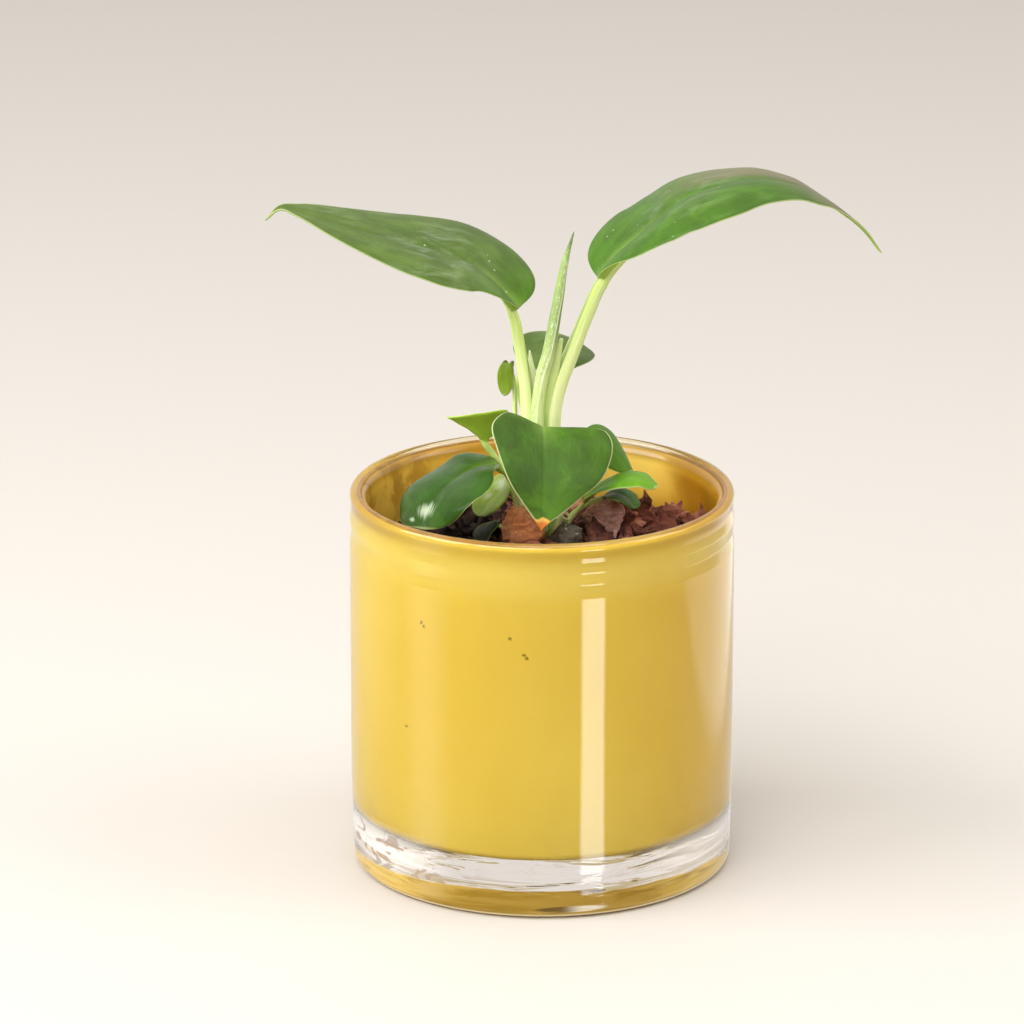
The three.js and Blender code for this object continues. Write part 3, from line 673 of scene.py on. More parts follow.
@dataclass(frozen=True)
class BarkFinish(Finish):
    """Broken conifer bark: red-brown, fibrous and matt, with dark crevices, partly its own colour and
    partly painted shade.
    """

    name: str
    dark: Tint = (96, 50, 38)
    body: Tint = (164, 98, 74)
    light: Tint = (212, 148, 118)
    moss: float = 0.0
    shaded: float = 0.0
    moss_tint: Tint = (58, 64, 42)
    lichen_tint: Tint = (176, 178, 164)
    shade_side: Span = (-0.006, -0.018)

    def sockets(self, w: NodeWriter) -> dict[str, object]:
        """Makes layered bark with fibres, dark crevices partly painted as shade, and dusty faces.

        Args:
            w: the writer.

        Returns:
            Socket name to value.
        """
        place = w.place()
        layered = w.stretch(place, (1.0, 1.0, 2.6))
        grain = w.clouds(layered, 240, 6, 0.66, 0.7)
        tint = w.ramp(grain, [(0.28, self.dark), (0.5, self.body), (0.74, self.light)])
        patches = w.clouds(place, 95, 3)
        tint = w.paint(tint, self.light, w.ease(patches, 0.5, 0.72), 0.5)
        tint = w.paint(tint, self.dark, w.ease(patches, 0.46, 0.3), 0.6)
        # Dark lines in the crevices: partly the bark's own darker fissures, partly painted shade.
        crack_shade = w.less(1.0, w.ease(w.cells(layered, 420, "DISTANCE_TO_EDGE"), 0.0, 0.07))
        tint = w.paint(tint, tuple(v * 0.5 for v in self.dark), crack_shade, 0.45)
        if self.moss:
            growth = w.ease(w.clouds(place, 170, 4, 0.7), 0.44, 0.6)
            tint = w.paint(tint, self.moss_tint, growth, self.moss)
            lichen = w.ease(w.clouds(place, 520, 3, 0.6), 0.6, 0.66)
            tint = w.paint(tint, self.lichen_tint, lichen, 0.7)
        # Painted shade: bark towards the left is painted near black.
        if self.shaded:
            painted_shade = w.ease(w.split(place)[0], *self.shade_side)
            tint = w.paint(tint, tuple(v * 0.14 for v in self.dark), painted_shade, self.shaded)
        ridges = w.plus(w.times(grain, 0.7), w.times(w.clouds(place, 1300, 4, 0.7), 0.3))
        return {"Base Color": tint, "Roughness": w.scale_to(grain, 0.95, 0.68), "Specular IOR Level": 0.3,
                "Normal": w.relief(ridges, 0.5)}


@dataclass(frozen=True)
class MediumFinish(Finish):
    """Dark damp fines between the chips."""

    name: str = "damp_bark_fines"

    def sockets(self, w: NodeWriter) -> dict[str, object]:
        """Makes near-black brown crumbs with a few lighter grains.

        Args:
            w: the writer.

        Returns:
            Socket name to value.
        """
        place = w.place()
        grain = w.clouds(place, 420, 5, 0.7)
        tint = w.ramp(grain, [(0.3, (14, 8, 6)), (0.55, (38, 22, 16)), (0.8, (74, 44, 32))])
        return {"Base Color": tint, "Roughness": 0.9, "Specular IOR Level": 0.25,
                "Normal": w.relief(grain, 1.2)}


@dataclass(frozen=True)
class CrownFinish(Finish):
    """Short green stem with brown rings where old leaves stood."""

    name: str = "ringed_crown_skin"
    scar: Tint = (112, 82, 48)

    def sockets(self, w: NodeWriter) -> dict[str, object]:
        """Makes green skin that turns brown in rings.

        Args:
            w: the writer.

        Returns:
            Socket name to value.
        """
        place = w.place()
        height = w.split(place)[2]
        wobble = w.plus(w.times(height, 900.0), w.times(w.clouds(place, 160, 2), 4.0))
        rings = w.ease(w.calc("SINE", wobble), 0.2, 0.9)
        tint = w.ramp(w.clouds(place, 210, 4), [(0.3, (108, 128, 56)), (0.7, (160, 176, 92))])
        tint = w.paint(tint, self.scar, rings, 0.7)
        return {"Base Color": tint, "Roughness": 0.6, "Normal": w.relief(rings, 0.5)}


@dataclass(frozen=True)
class CutFinish(Finish):
    """Cut end of a stalk: pale ring, dark brown middle and green-cream skin."""

    name: str = "cut_stalk_tissue"

    def sockets(self, w: NodeWriter) -> dict[str, object]:
        """Makes the colour by how near a point is to the middle of the cut.

        Args:
            w: the writer.

        Returns:
            Socket name to value.
        """
        heart = w.trait("heart")
        skin = w.ramp(w.clouds(w.place(), 500, 3), [(0.3, (186, 198, 132)), (0.7, (222, 222, 170))])
        cut = w.ramp(heart, [(0.0, (224, 214, 170)), (0.35, (196, 176, 118)), (0.62, (84, 62, 34)),
                             (1.0, (44, 30, 20))])
        on_cut = w.ease(w.trait("cut"), 0.4, 0.6)
        return {"Base Color": w.blend(on_cut, skin, cut), "Roughness": 0.55,
                "Normal": w.relief(w.clouds(w.place(), 700, 3), 0.3)}


@dataclass(frozen=True)
class FloorFinish(Finish):
    """Plain pale studio floor."""

    name: str = "pale_floor"
    tint: Tint = (200, 194, 187)

    def sockets(self, w: NodeWriter) -> dict[str, object]:
        """Returns an even pale matt surface."""
        return {"Base Color": linear(self.tint), "Roughness": 0.6, "Specular IOR Level": 0.2}


class Course:
    """A smooth curve through points, measured along its length, that runs on straight past its ends."""

    STEPS = 240
    FINE_STEPS = 40

    def __init__(self, points: Sequence[Point]) -> None:
        """Samples the curve evenly along its length.

        Args:
            points: the places that the curve goes through, in millimetres.
        """
        given = [np.array(p, float) for p in points]
        given = [2 * given[0] - given[1], *given, 2 * given[-1] - given[-2]]
        fine = []
        for a, b, c, d in zip(given, given[1:], given[2:], given[3:]):
            for t in np.linspace(0, 1, self.FINE_STEPS, endpoint=False):
                fine.append(0.5 * (2 * b + (c - a) * t + (2 * a - 5 * b + 4 * c - d) * t * t
                                   + (3 * b - a - 3 * c + d) * t ** 3))
        fine = np.array([*fine, given[-2]])
        run = np.r_[0, np.cumsum(np.linalg.norm(np.diff(fine, axis=0), axis=1))]
        self.length = float(run[-1])
        even = np.linspace(0, self.length, self.STEPS + 1)
        self.points = np.stack([np.interp(even, run, fine[:, k]) for k in range(3)], 1)
        slopes = np.gradient(self.points, axis=0)
        self.slopes = slopes / np.linalg.norm(slopes, axis=1)[:, None]

    def at(self, distance: float) -> tuple[np.ndarray, np.ndarray]:
        """Finds a place on the curve.

        Args:
            distance: how far along it, in millimetres.

        Returns:
            The point there and the curve's unit direction.
        """
        if distance <= 0:
            return self.points[0] + self.slopes[0] * distance, self.slopes[0]
        if distance >= self.length:
            return self.points[-1] + self.slopes[-1] * (distance - self.length), self.slopes[-1]
        place = distance / self.length * self.STEPS
        low = min(int(place), self.STEPS - 1)
        share = place - low
        slope = self.slopes[low] * (1 - share) + self.slopes[low + 1] * share
        point = self.points[low] * (1 - share) + self.points[low + 1] * share
        return point, slope / np.linalg.norm(slope)


def bezier(values: Sequence[float], t: float) -> float:
    """Returns a quadratic curve's value at t, from its three control values."""
    return values[0] * (1 - t) ** 2 + 2 * values[1] * t * (1 - t) + values[2] * t * t


def band_faces(rings: int, count: int, start: int = 0, outward: bool = True) -> list[tuple[int, ...]]:
    """Joins closed rings of points with faces of four corners.

    Args:
        rings: how many rings there are.
        count: points in a ring.
        start: the first point of the first ring.
        outward: whether a face goes round its ring first, or from ring to ring.

    Returns:
        The faces, ring by ring.
    """
    faces = []
    for a in range(start, start + (rings - 1) * count, count):
        for k in range(count):
            here, beside = a + k, a + (k + 1) % count
            if outward:
                faces.append((here, beside, beside + count, here + count))
            else:
                faces.append((here, here + count, beside + count, beside))
    return faces


def flat_to(vector: np.ndarray, direction: np.ndarray) -> np.ndarray:
    """Returns a unit vector made square to a direction."""
    flat = vector - (vector @ direction) * direction
    return flat / np.linalg.norm(flat)


@dataclass
class Shape:
    """Points and faces of one mesh in millimetres, with values kept at each point."""

    points: np.ndarray
    faces: list[tuple[int, ...]]
    traits: dict[str, np.ndarray] = field(default_factory=dict)
    uv: np.ndarray | None = None
    slots: list[int] | None = None

    def mesh(self, name: str, merge: float = 0.0) -> bpy.types.Mesh:
        """Makes a Blender mesh in metres.

        Args:
            name: the mesh's name.
            merge: points closer than this many millimetres become one.

        Returns:
            The mesh, with outward faces where it was merged.
        """
        made = bpy.data.meshes.new(name)
        made.from_pydata((self.points * MM).tolist(), [], self.faces)
        for trait, values in self.traits.items():
            kind, key = ("FLOAT_VECTOR", "vector") if values.ndim == 2 else ("FLOAT", "value")
            made.attributes.new(trait, kind, "POINT").data.foreach_set(key, values.ravel())
        if self.uv is not None:
            layer = made.uv_layers.new(name="blade")
            corners = np.zeros(len(made.loops), int)
            made.loops.foreach_get("vertex_index", corners)
            layer.uv.foreach_set("vector", self.uv[corners].ravel())
        if self.slots is not None:
            made.polygons.foreach_set("material_index", self.slots)
        if merge:
            work = bmesh.new()
            work.from_mesh(made)
            bmesh.ops.remove_doubles(work, verts=work.verts, dist=merge * MM)
            bmesh.ops.recalc_face_normals(work, faces=work.faces)
            work.to_mesh(made)
            work.free()
        made.polygons.foreach_set("use_smooth", [True] * len(made.polygons))
        made.update()
        return made


def piece(name: str, mesh: bpy.types.Mesh, finishes: Sequence[Finish],
          nodes: Sequence[str] = ()) -> bpy.types.Object:
    """Adds one finished piece of the plant or its pot.

    Args:
        name: the piece's name.
        mesh: its mesh, in place.
        finishes: its materials in order.
        nodes: the CAD nodes that it stands for.

    Returns:
        The new object.
    """
    made = bpy.data.objects.new(name, mesh)
    bpy.context.scene.collection.objects.link(made)
    order = np.zeros(len(mesh.polygons), np.int32)
    mesh.polygons.foreach_get("material_index", order)
    mesh.materials.clear()
    for finish in finishes:
        mesh.materials.append(finish.material())
    mesh.polygons.foreach_set("material_index", order)
    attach(made, BODY)
    if nodes:
        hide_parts(*nodes)
    LOG.info("%s: %d faces", name, len(mesh.polygons))
    return made


class GrowthTree:
    """A geometry node tree with named inputs, and the plain mesh that it grows from a carrier."""

    def __init__(self, name: str, inputs: dict[str, str]) -> None:
        """Starts a tree.

        Args:
            name: the tree's name.
            inputs: input name to socket type.
        """
        self.tree = bpy.data.node_groups.new(name, "GeometryNodeTree")
        face = self.tree.interface
        face.new_socket("Geometry", in_out="INPUT", socket_type="NodeSocketGeometry")
        for label, kind in inputs.items():
            face.new_socket(label, in_out="INPUT", socket_type=kind)
        face.new_socket("Geometry", in_out="OUTPUT", socket_type="NodeSocketGeometry")
        self.writer = NodeWriter(self.tree)
        self.given = self.writer.node("NodeGroupInput").outputs

    def end(self, geometry: bpy.types.NodeSocket) -> None:
        """Ends the tree with plain geometry in the Finish material.

        Args:
            geometry: what the tree has made.
        """
        w = self.writer
        plain = w.node("GeometryNodeRealizeInstances", {0: geometry}).outputs[0]
        smooth = w.node("GeometryNodeSetShadeSmooth", {"Geometry": plain}).outputs[0]
        dressed = w.node("GeometryNodeSetMaterial", {"Geometry": smooth, "Material": self.given["Finish"]})
        w.node("NodeGroupOutput", {0: dressed.outputs[0]})

    def grow(self, name: str, carrier: bpy.types.Mesh, values: dict[str, object]) -> bpy.types.Mesh:
        """Runs the tree on a carrier.

        Args:
            name: the new mesh's name.
            carrier: the mesh that the tree grows on.
            values: input name to value.

        Returns:
            The grown mesh.
        """
        holder = bpy.data.objects.new(name + ".carrier", carrier)
        bpy.context.scene.collection.objects.link(holder)
        modifier = holder.modifiers.new("growth", "NODES")
        modifier.node_group = self.tree
        sockets = {s.name: s.identifier for s in self.tree.interface.items_tree
                   if s.item_type == "SOCKET" and s.in_out == "INPUT"}
        for label, value in values.items():
            modifier[sockets[label]] = value
        graph = bpy.context.evaluated_depsgraph_get()
        grown = bpy.data.meshes.new_from_object(holder.evaluated_get(graph), preserve_all_data_layers=True,
                                                depsgraph=graph)
        grown.name = name
        bpy.data.objects.remove(holder)
        return grown


def stalk_tree() -> GrowthTree:
    """Writes the tree that sweeps a grooved stalk along a line of points.

    The line's points hold thickness, facing, run and reach. The groove lies on the side that facing names.

    Returns:
        The tree.
    """
    made = GrowthTree("grooved_stalk", {"Sides": "NodeSocketInt", "Oval": "NodeSocketFloat",
                                        "Groove": "NodeSocketFloat", "Finish": "NodeSocketMaterial"})
    w, given = made.writer, made.given
    line = w.node("GeometryNodeMeshToCurve", {0: given["Geometry"]}).outputs[0]
    facing, thickness = w.named("facing", "FLOAT_VECTOR"), w.named("thickness")
    line = w.node("GeometryNodeSetCurveNormal", {"Curve": line, "Normal": facing}, mode="FREE").outputs[0]
    ring = w.node("GeometryNodeCurvePrimitiveCircle", {"Resolution": given["Sides"]}).outputs[0]
    spot = w.node("GeometryNodeInputPosition").outputs[0]
    ring = w.node("GeometryNodeStoreNamedAttribute", {"Geometry": ring, "Name": "around", "Value": spot},
                  data_type="FLOAT_VECTOR", domain="POINT").outputs[0]
    oval = w.join(1.0, given["Oval"], 1.0)
    ring = w.node("GeometryNodeTransform", {"Geometry": ring, "Scale": oval}).outputs[0]
    skin = w.node("GeometryNodeCurveToMesh", {"Curve": line, "Profile Curve": ring, "Scale": thickness,
                                              "Fill Caps": True}).outputs[0]
    front = w.ease(w.split(w.named("around", "FLOAT_VECTOR"))[0], 0.62, 1.0)
    depth = w.times(front, given["Groove"], w.times(thickness, -1.0))
    push = w.scaled(facing, depth)
    made.end(w.node("GeometryNodeSetPosition", {"Geometry": skin, "Offset": push}).outputs[0])
    return made


def scatter_tree() -> GrowthTree:
    """Writes the tree that strews angular fragments over a surface.

    Returns:
        The tree.
    """
    made = GrowthTree("strewn_fragments", {
        "Spacing": "NodeSocketFloat", "Density": "NodeSocketFloat", "Small": "NodeSocketFloat",
        "Large": "NodeSocketFloat", "Detail": "NodeSocketInt", "Seed": "NodeSocketInt",
        "Finish": "NodeSocketMaterial"})
    w, given = made.writer, made.given
    spots = w.node("GeometryNodeDistributePointsOnFaces", {
        "Mesh": given["Geometry"], "Distance Min": given["Spacing"], "Density Max": given["Density"],
        "Seed": given["Seed"]}, distribute_method="POISSON").outputs[0]
    lump = w.node("GeometryNodeMeshCone", {
        "Vertices": 5, "Side Segments": given["Detail"], "Radius Top": 0.16, "Radius Bottom": 0.5,
        "Depth": 1.0}).outputs[0]
    scale = w.node("FunctionNodeRandomValue", {0: (0.5, 0.3, 0.4), 1: (1.0, 0.7, 1.1)},
                   data_type="FLOAT_VECTOR").outputs[0]
    picked = w.node("FunctionNodeRandomValue", {2: given["Small"], 3: given["Large"]}, data_type="FLOAT")
    scale = w.scaled(scale, picked.outputs[1])
    turn = w.node("FunctionNodeRandomValue", {0: (-1.5, -1.5, 0.0), 1: (1.5, 1.5, 6.28)},
                  data_type="FLOAT_VECTOR").outputs[0]
    pieces = w.node("GeometryNodeInstanceOnPoints", {"Points": spots, "Instance": lump, "Rotation": turn,
                                                     "Scale": scale}).outputs[0]
    plain = w.node("GeometryNodeRealizeInstances", {0: pieces}).outputs[0]
    place = w.node("GeometryNodeInputPosition").outputs[0]
    crumple = w.node("ShaderNodeTexNoise", {"Vector": place, "Scale": 420.0, "Detail": 2.0}).outputs[1]
    shift = w.vector_calc("SUBTRACT", crumple, (0.5, 0.5, 0.5)).outputs[0]
    push = w.scaled(shift, w.times(given["Large"], 0.55))
    made.end(w.node("GeometryNodeSetPosition", {"Geometry": plain, "Offset": push}).outputs[0])
    return made


@dataclass
class Petiole:
    """One leaf stalk, from its foot in the crown to where it becomes the leaf's rib."""

    name: str
    points: Sequence[Point]
    radii: Sequence[float]
    under_blade: float
    sink: float = 0.45
    groove: float = 0.4
    step: float = 0.8
    smoothing: int = 60
    plant_axis: Point = (0.4, 1.4, 0.0)
    thinning: float = 0.72
    oval: float = 0.94
    thick: float = 1.6

    def carrier(self, blade: Blade) -> bpy.types.Mesh:
        """Makes the line that the stalk is swept along, which ends a little way along the blade's rib.

        Args:
            blade: the blade that the stalk runs on under.

        Returns:
            A mesh of points and edges that holds the stalk's values.
        """
        route, rib = [np.array(p, float) for p in self.points], Course(blade.rib)
        for distance in np.linspace(self.under_blade * 0.45, self.under_blade, 3):
            route.append(rib.at(distance)[0] - blade.up_at(distance) * self.sink)
        line = Course(route)
        own = Course(self.points).length
        count = max(8, int(line.length / self.step))
        points, thickness, facing, run, reach = [], [], [], [], []
        places = np.linspace(0, 1, len(self.radii))
        for i in range(count + 1):
            distance = line.length * i / count
            point, slope = line.at(distance)
            share = min(distance / own, 1.0)
            size = float(np.interp(share, places, self.radii))
            past = max(0.0, distance - own) / max(line.length - own, 1e-6)
            size *= 1 - self.thinning * past ** 0.8
            inward = np.array(self.plant_axis) - point * np.array([1, 1, 0])
            if np.linalg.norm(inward) < 1e-3:
                inward = np.array([0.0, 1.0, 0.0])
            points.append(point)
            thickness.append(size * MM)
            facing.append(flat_to(inward, slope))
            run.append(share)
            reach.append(distance)
        points = np.array(points)
        for _ in range(self.smoothing):
            points[1:-1] = (points[:-2] + 2 * points[1:-1] + points[2:]) / 4
        shape = Shape(points, [], {"thickness": np.array(thickness), "facing": np.array(facing),
                                   "run": np.array(run), "reach": np.array(reach)})
        mesh = shape.mesh(self.name + ".line")
        mesh.edges.add(count)
        mesh.edges.foreach_set("vertices", [k for i in range(count) for k in (i, i + 1)])
        return mesh

    def build(self, tree: GrowthTree, finish: Finish, blade: Blade) -> bpy.types.Object:
        """Sweeps the stalk and dresses it.

        Args:
            tree: the stalk tree.
            finish: the stalk's finish.
            blade: the blade that it carries.

        Returns:
            The finished piece.
        """
        sides = 28 if self.radii[0] > self.thick else 20
        mesh = tree.grow(f"{self.name}_stalk", self.carrier(blade), {
            "Sides": sides, "Oval": self.oval, "Groove": self.groove, "Finish": finish.material()})
        return piece(f"{self.name}_stalk", mesh, [finish], [f"{self.name}_petiole"])


@dataclass
class Blade:
    """One leaf blade, whose side veins leave the rib and bend forward to the margin.

    Each half turns about the rib by its own angle and curls towards its margin.
    """

    name: str
    rib: Sequence[Point]
    side: Point
    width: float
    round: float
    taper: float
    lobe: tuple[float, float]
    left: Point
    right: Point
    curl: tuple[float, float]
    rows: int = 56
    columns: int = 14
    thickness: float = 0.62
    keel: float = 1.2
    fan: float = 1.4
    lean: float = 0.9
    crowding: float = 1.35

    def half(self, across: float) -> int:
        """Returns 1 for the right half and 0 for the left half."""
        return 1 if across >= 0 else 0

    def up_at(self, distance: float) -> np.ndarray:
        """Returns the upward direction at a distance along the rib."""
        _, slope = Course(self.rib).at(distance)
        return np.cross(flat_to(np.array(self.side, float), slope), slope)

    def grid(self) -> dict[str, np.ndarray]:
        """Works out the blade's middle surface.

        Returns:
            Arrays by row and column: point, distance along, millimetres across, to the margin, and share.
        """
        rib = Course(self.rib)
        length = rib.length
        side = np.array(self.side, float)
        widest = self.round / (self.round + self.taper)
        fullest = widest ** self.round * (1 - widest) ** self.taper
        lobe_peak = (1 / 6) * (5 / 6) ** 5
        count = 2 * self.columns + 1
        point = np.zeros((self.rows + 1, count, 3))
        place = np.zeros((self.rows + 1, count, 3))
        uv = np.zeros((self.rows + 1, count, 2))
        for i in range(self.rows + 1):
            share = 0.5 - 0.5 * math.cos(math.pi * i / self.rows)
            reach = self.width / 2 * share ** self.round * (1 - share) ** self.taper / fullest
            lobe = share * (1 - share) ** 5 / lobe_peak
            on_rib = length * share ** self.fan
            for j in range(count):
                step = (j - self.columns) / self.columns
                across = math.copysign(abs(step) ** self.crowding, step)
                k = self.half(across)
                on_margin = length * share - self.lobe[k] * lobe
                along = on_rib + (on_margin - on_rib) * abs(across)
                spot, slope = rib.at(along)
                sideways = flat_to(side, slope)
                upward = np.cross(sideways, slope)
                t = min(max(along / length, 0.0), 1.0)
                turn = math.radians(bezier((self.left, self.right)[k], t))
                bend = math.radians(self.curl[k]) / (self.width / 2)
                out = reach * abs(across)
                flat = (math.sin(turn + bend * out) - math.sin(turn)) / bend
                rise = (math.cos(turn) - math.cos(turn + bend * out)) / bend
                outward = -flat if across < 0 else abs(flat)
                point[i, j] = spot + sideways * outward + upward * rise
                to_edge = min(reach * (1 - abs(across)) + 0.02, length * (1 - share) * 0.5 + 0.02)
                place[i, j] = (length * share - self.lean * reach * abs(across), reach * across, to_edge)
                uv[i, j] = (share, 0.5 + 0.5 * across)
        return {"point": point, "place": place, "uv": uv}

    def skins(self, grid: dict[str, np.ndarray]) -> tuple[np.ndarray, np.ndarray]:
        """Offsets the middle surface to the upper and lower skins.

        Args:
            grid: the middle surface.

        Returns:
            Upper and lower points.
        """
        point, place = grid["point"], grid["place"]
        down = np.gradient(point, axis=0)
        over = np.gradient(point, axis=1)
        normal = np.cross(over, down)
        size = np.linalg.norm(normal, axis=2, keepdims=True)
        normal = np.where(size > 1e-9, normal / np.maximum(size, 1e-9), 0)
        for end, near in ((0, 2), (-1, -3)):
            normal[end] = normal[near].mean(axis=0) / np.linalg.norm(normal[near].mean(axis=0))
        normal[1] = (normal[1] + normal[2]) / np.linalg.norm(normal[1] + normal[2], axis=1, keepdims=True)
        share = grid["uv"][..., 0]
        across = np.abs(grid["uv"][..., 1] * 2 - 1)
        mm_across = np.abs(place[..., 1])
        half = self.thickness / 2 * np.sqrt(np.clip(1 - across ** 10, 0.05, 1))
        channel = 0.32 * np.exp(-(mm_across / 0.9) ** 2) * np.clip(1 - share * 1.1, 0, 1)
        rib_size = self.keel * np.clip(1 - share, 0, 1) ** 1.2 + 0.1
        keel = rib_size * np.sqrt(np.clip(1 - (mm_across / (rib_size * 1.15)) ** 2, 0, 1))
        keel *= np.clip(share * 40, 0, 1)
        closing = np.clip(np.minimum(share, 1 - share) * 60, 0, 1) ** 0.5
        upper = point + normal * ((half - channel) * closing)[..., None]
        lower = point - normal * ((half + keel * 0.85) * closing)[..., None]
        return upper, lower

    def shape(self) -> Shape:
        """Closes the blade round its margin.

        Returns:
            The blade, with its values at each point.
        """
        grid = self.grid()
        upper, lower = self.skins(grid)
        rows, count = upper.shape[:2]
        number = rows * count
        faces = []
        for i in range(rows - 1):
            for j in range(count - 1):
                a, d = i * count + j, i * count + j + 1
                b, c = a + count, d + count
                faces.append((a, b, c, d))
                faces.append((number + a, number + d, number + c, number + b))
            for j, turned in ((0, False), (count - 1, True)):
                a, b = i * count + j, (i + 1) * count + j
                strip = (a, number + a, number + b, b)
                faces.append(strip[::-1] if turned else strip)
        place, uv = (np.concatenate([grid[key].reshape(number, -1)] * 2) for key in ("place", "uv"))
        traits = {"leaf_place": place, "upper": np.repeat([1.0, 0.0], number)}
        return Shape(np.concatenate([upper.reshape(-1, 3), lower.reshape(-1, 3)]), faces, traits, uv)

    def build(self, finish: Finish, slot: Slot) -> bpy.types.Object:
        """Makes the blade and dresses it."""
        mesh = self.shape().mesh(f"{self.name}_skin", merge=0.004)
        return piece(f"{self.name}_skin", mesh, [finish], [f"{self.name}_blade"])


def tube(line: Course, stations: Sequence[float], radius: Callable[[float, float], float], sides: int,
         twist: Callable[[float], float], seam: bool) -> Shape:
    """Makes a closed tube along a course, with values for its skin.

    Args:
        line: the course.
        stations: distances along it.
        radius: radius at a share along and a share round.
        sides: points round it.
        twist: angle in radians at a share along.
        seam: whether the two ends of the round meet in a step.

    Returns:
        The tube, closed at both ends.
    """
    reference = np.array([0.0, 1.0, 0.0])
    points, run, turn, reach = [], [], [], []
    ring = sides + 1 if seam else sides
    for distance in stations:
        share = distance / line.length
        centre, slope = line.at(distance)
        side = flat_to(reference, slope)
        other = np.cross(side, slope)
        for k in range(ring):
            part = k / sides
            angle = part * 2 * math.pi + twist(share)
            size = radius(share, part)
            points.append(centre + size * (side * math.cos(angle) + other * math.sin(angle)))
            run.append(share)
            turn.append(part)
            reach.append(distance)
    faces = band_faces(len(stations), ring)
    faces.append(tuple(range(ring))[::-1])
    faces.append(tuple((len(stations) - 1) * ring + k for k in range(ring)))
    return Shape(np.array(points), faces, {"run": np.array(run), "turn": np.array(turn),
                                           "reach": np.array(reach)})


@dataclass
class Spear:
    """The rolled new leaf: a spiral roll that tapers to a point."""

    points: Sequence[Point]
    radii: Sequence[float]
    overlap: float = 0.16
    sides: int = 44
    turns: float = 0.32
    edge_angle: float = 4.1

    def build(self) -> bpy.types.Object:
        """Makes the roll with its free edge winding round it.

        Returns:
            The finished piece.
        """
        line = Course(self.points)
        places = np.linspace(0, 1, len(self.radii))

        def size(share: float, part: float) -> float:
            """Returns the roll's radius, larger towards its outer edge."""
            base = float(np.interp(share, places, self.radii))
            return base * (1 - self.overlap / 2 + self.overlap * part)

        stations = np.linspace(0, line.length, 120)
        shape = tube(line, stations, size, self.sides,
                     lambda share: self.edge_angle - self.turns * 2 * math.pi * share, True)
        mesh = shape.mesh("rolled_spear_leaf", merge=0.001)
        return piece("rolled_spear_leaf", mesh, [ShootFinish()], ["spear_leaf"])


@dataclass
class Bract:
    """A thin pointed sheath that stands beside the young stalks."""

    name: str
    points: Sequence[Point]
    radii: Sequence[float]
    nodes: Sequence[str] = ()
    flatness: float = 0.6

    def build(self, finish: Finish) -> bpy.types.Object:
        """Makes the sheath as a flattened, pointed shell.

        Args:
            finish: its finish.

        Returns:
            The finished piece.
        """
        line = Course(self.points)
        places = np.linspace(0, 1, len(self.radii))

        def size(share: float, part: float) -> float:
            """Returns the radius, flattened from front to back."""
            base = float(np.interp(share, places, self.radii))
            return base * (1 - (1 - self.flatness) * math.cos(part * 2 * math.pi) ** 2)

        stations = np.linspace(0, line.length, 60)
        shape = tube(line, stations, size, 24, lambda share: 0.0, False)
        angles = shape.traits["turn"] * 2 * math.pi
        shape.traits["around"] = np.stack([np.cos(angles), np.sin(angles), angles * 0], 1)
        return piece(self.name, shape.mesh(self.name, merge=0.001), [finish], self.nodes)


@dataclass
class CutStub:
    """What is left of a stalk that was cut: a short peg with a dished end."""

    DISH = ((0.9, -0.12), (0.7, 0.05), (0.45, 0.35), (0.2, 0.7))

    points: Sequence[Point]
    radii: Sequence[float]
    sides: int = 28

    def build(self) -> bpy.types.Object:
        """Makes the peg and its dished end.

        Returns:
            The finished piece.
        """
        line = Course(self.points)
        places = np.linspace(0, 1, len(self.radii))

        def size(share: float, part: float) -> float:
            """Returns the peg's radius, which goes in and out round it."""
            wave = 1 + 0.05 * math.sin(3 * 2 * math.pi * part) + 0.03 * math.sin(14 * math.pi * part + 1)
            return float(np.interp(share, places, self.radii)) * wave

        shape = tube(line, np.linspace(0, line.length, 24), size, self.sides, lambda share: 0.0, False)
        shape.faces.pop()
        centre, slope = line.at(line.length)
        count, ring = len(shape.points), shape.points[-self.sides:]
        dish = [centre + (ring - centre) * inset - slope * sink for inset, sink in self.DISH]
        shape.points = np.concatenate([shape.points, *dish])
        shape.faces += band_faces(len(dish) + 1, self.sides, count - self.sides)
        shape.faces.append(tuple(range(len(shape.points) - self.sides, len(shape.points))))
        insets = np.repeat([1 - inset for inset, _ in self.DISH], self.sides)
        shape.traits = {"heart": np.r_[np.zeros(count), insets],
                        "cut": np.r_[np.zeros(count), np.ones(len(insets))]}
        mesh = shape.mesh("cut_stalk_stub", merge=0.001)
        return piece("cut_stalk_stub", mesh, [CutFinish()], ["cut_petiole_stub"])


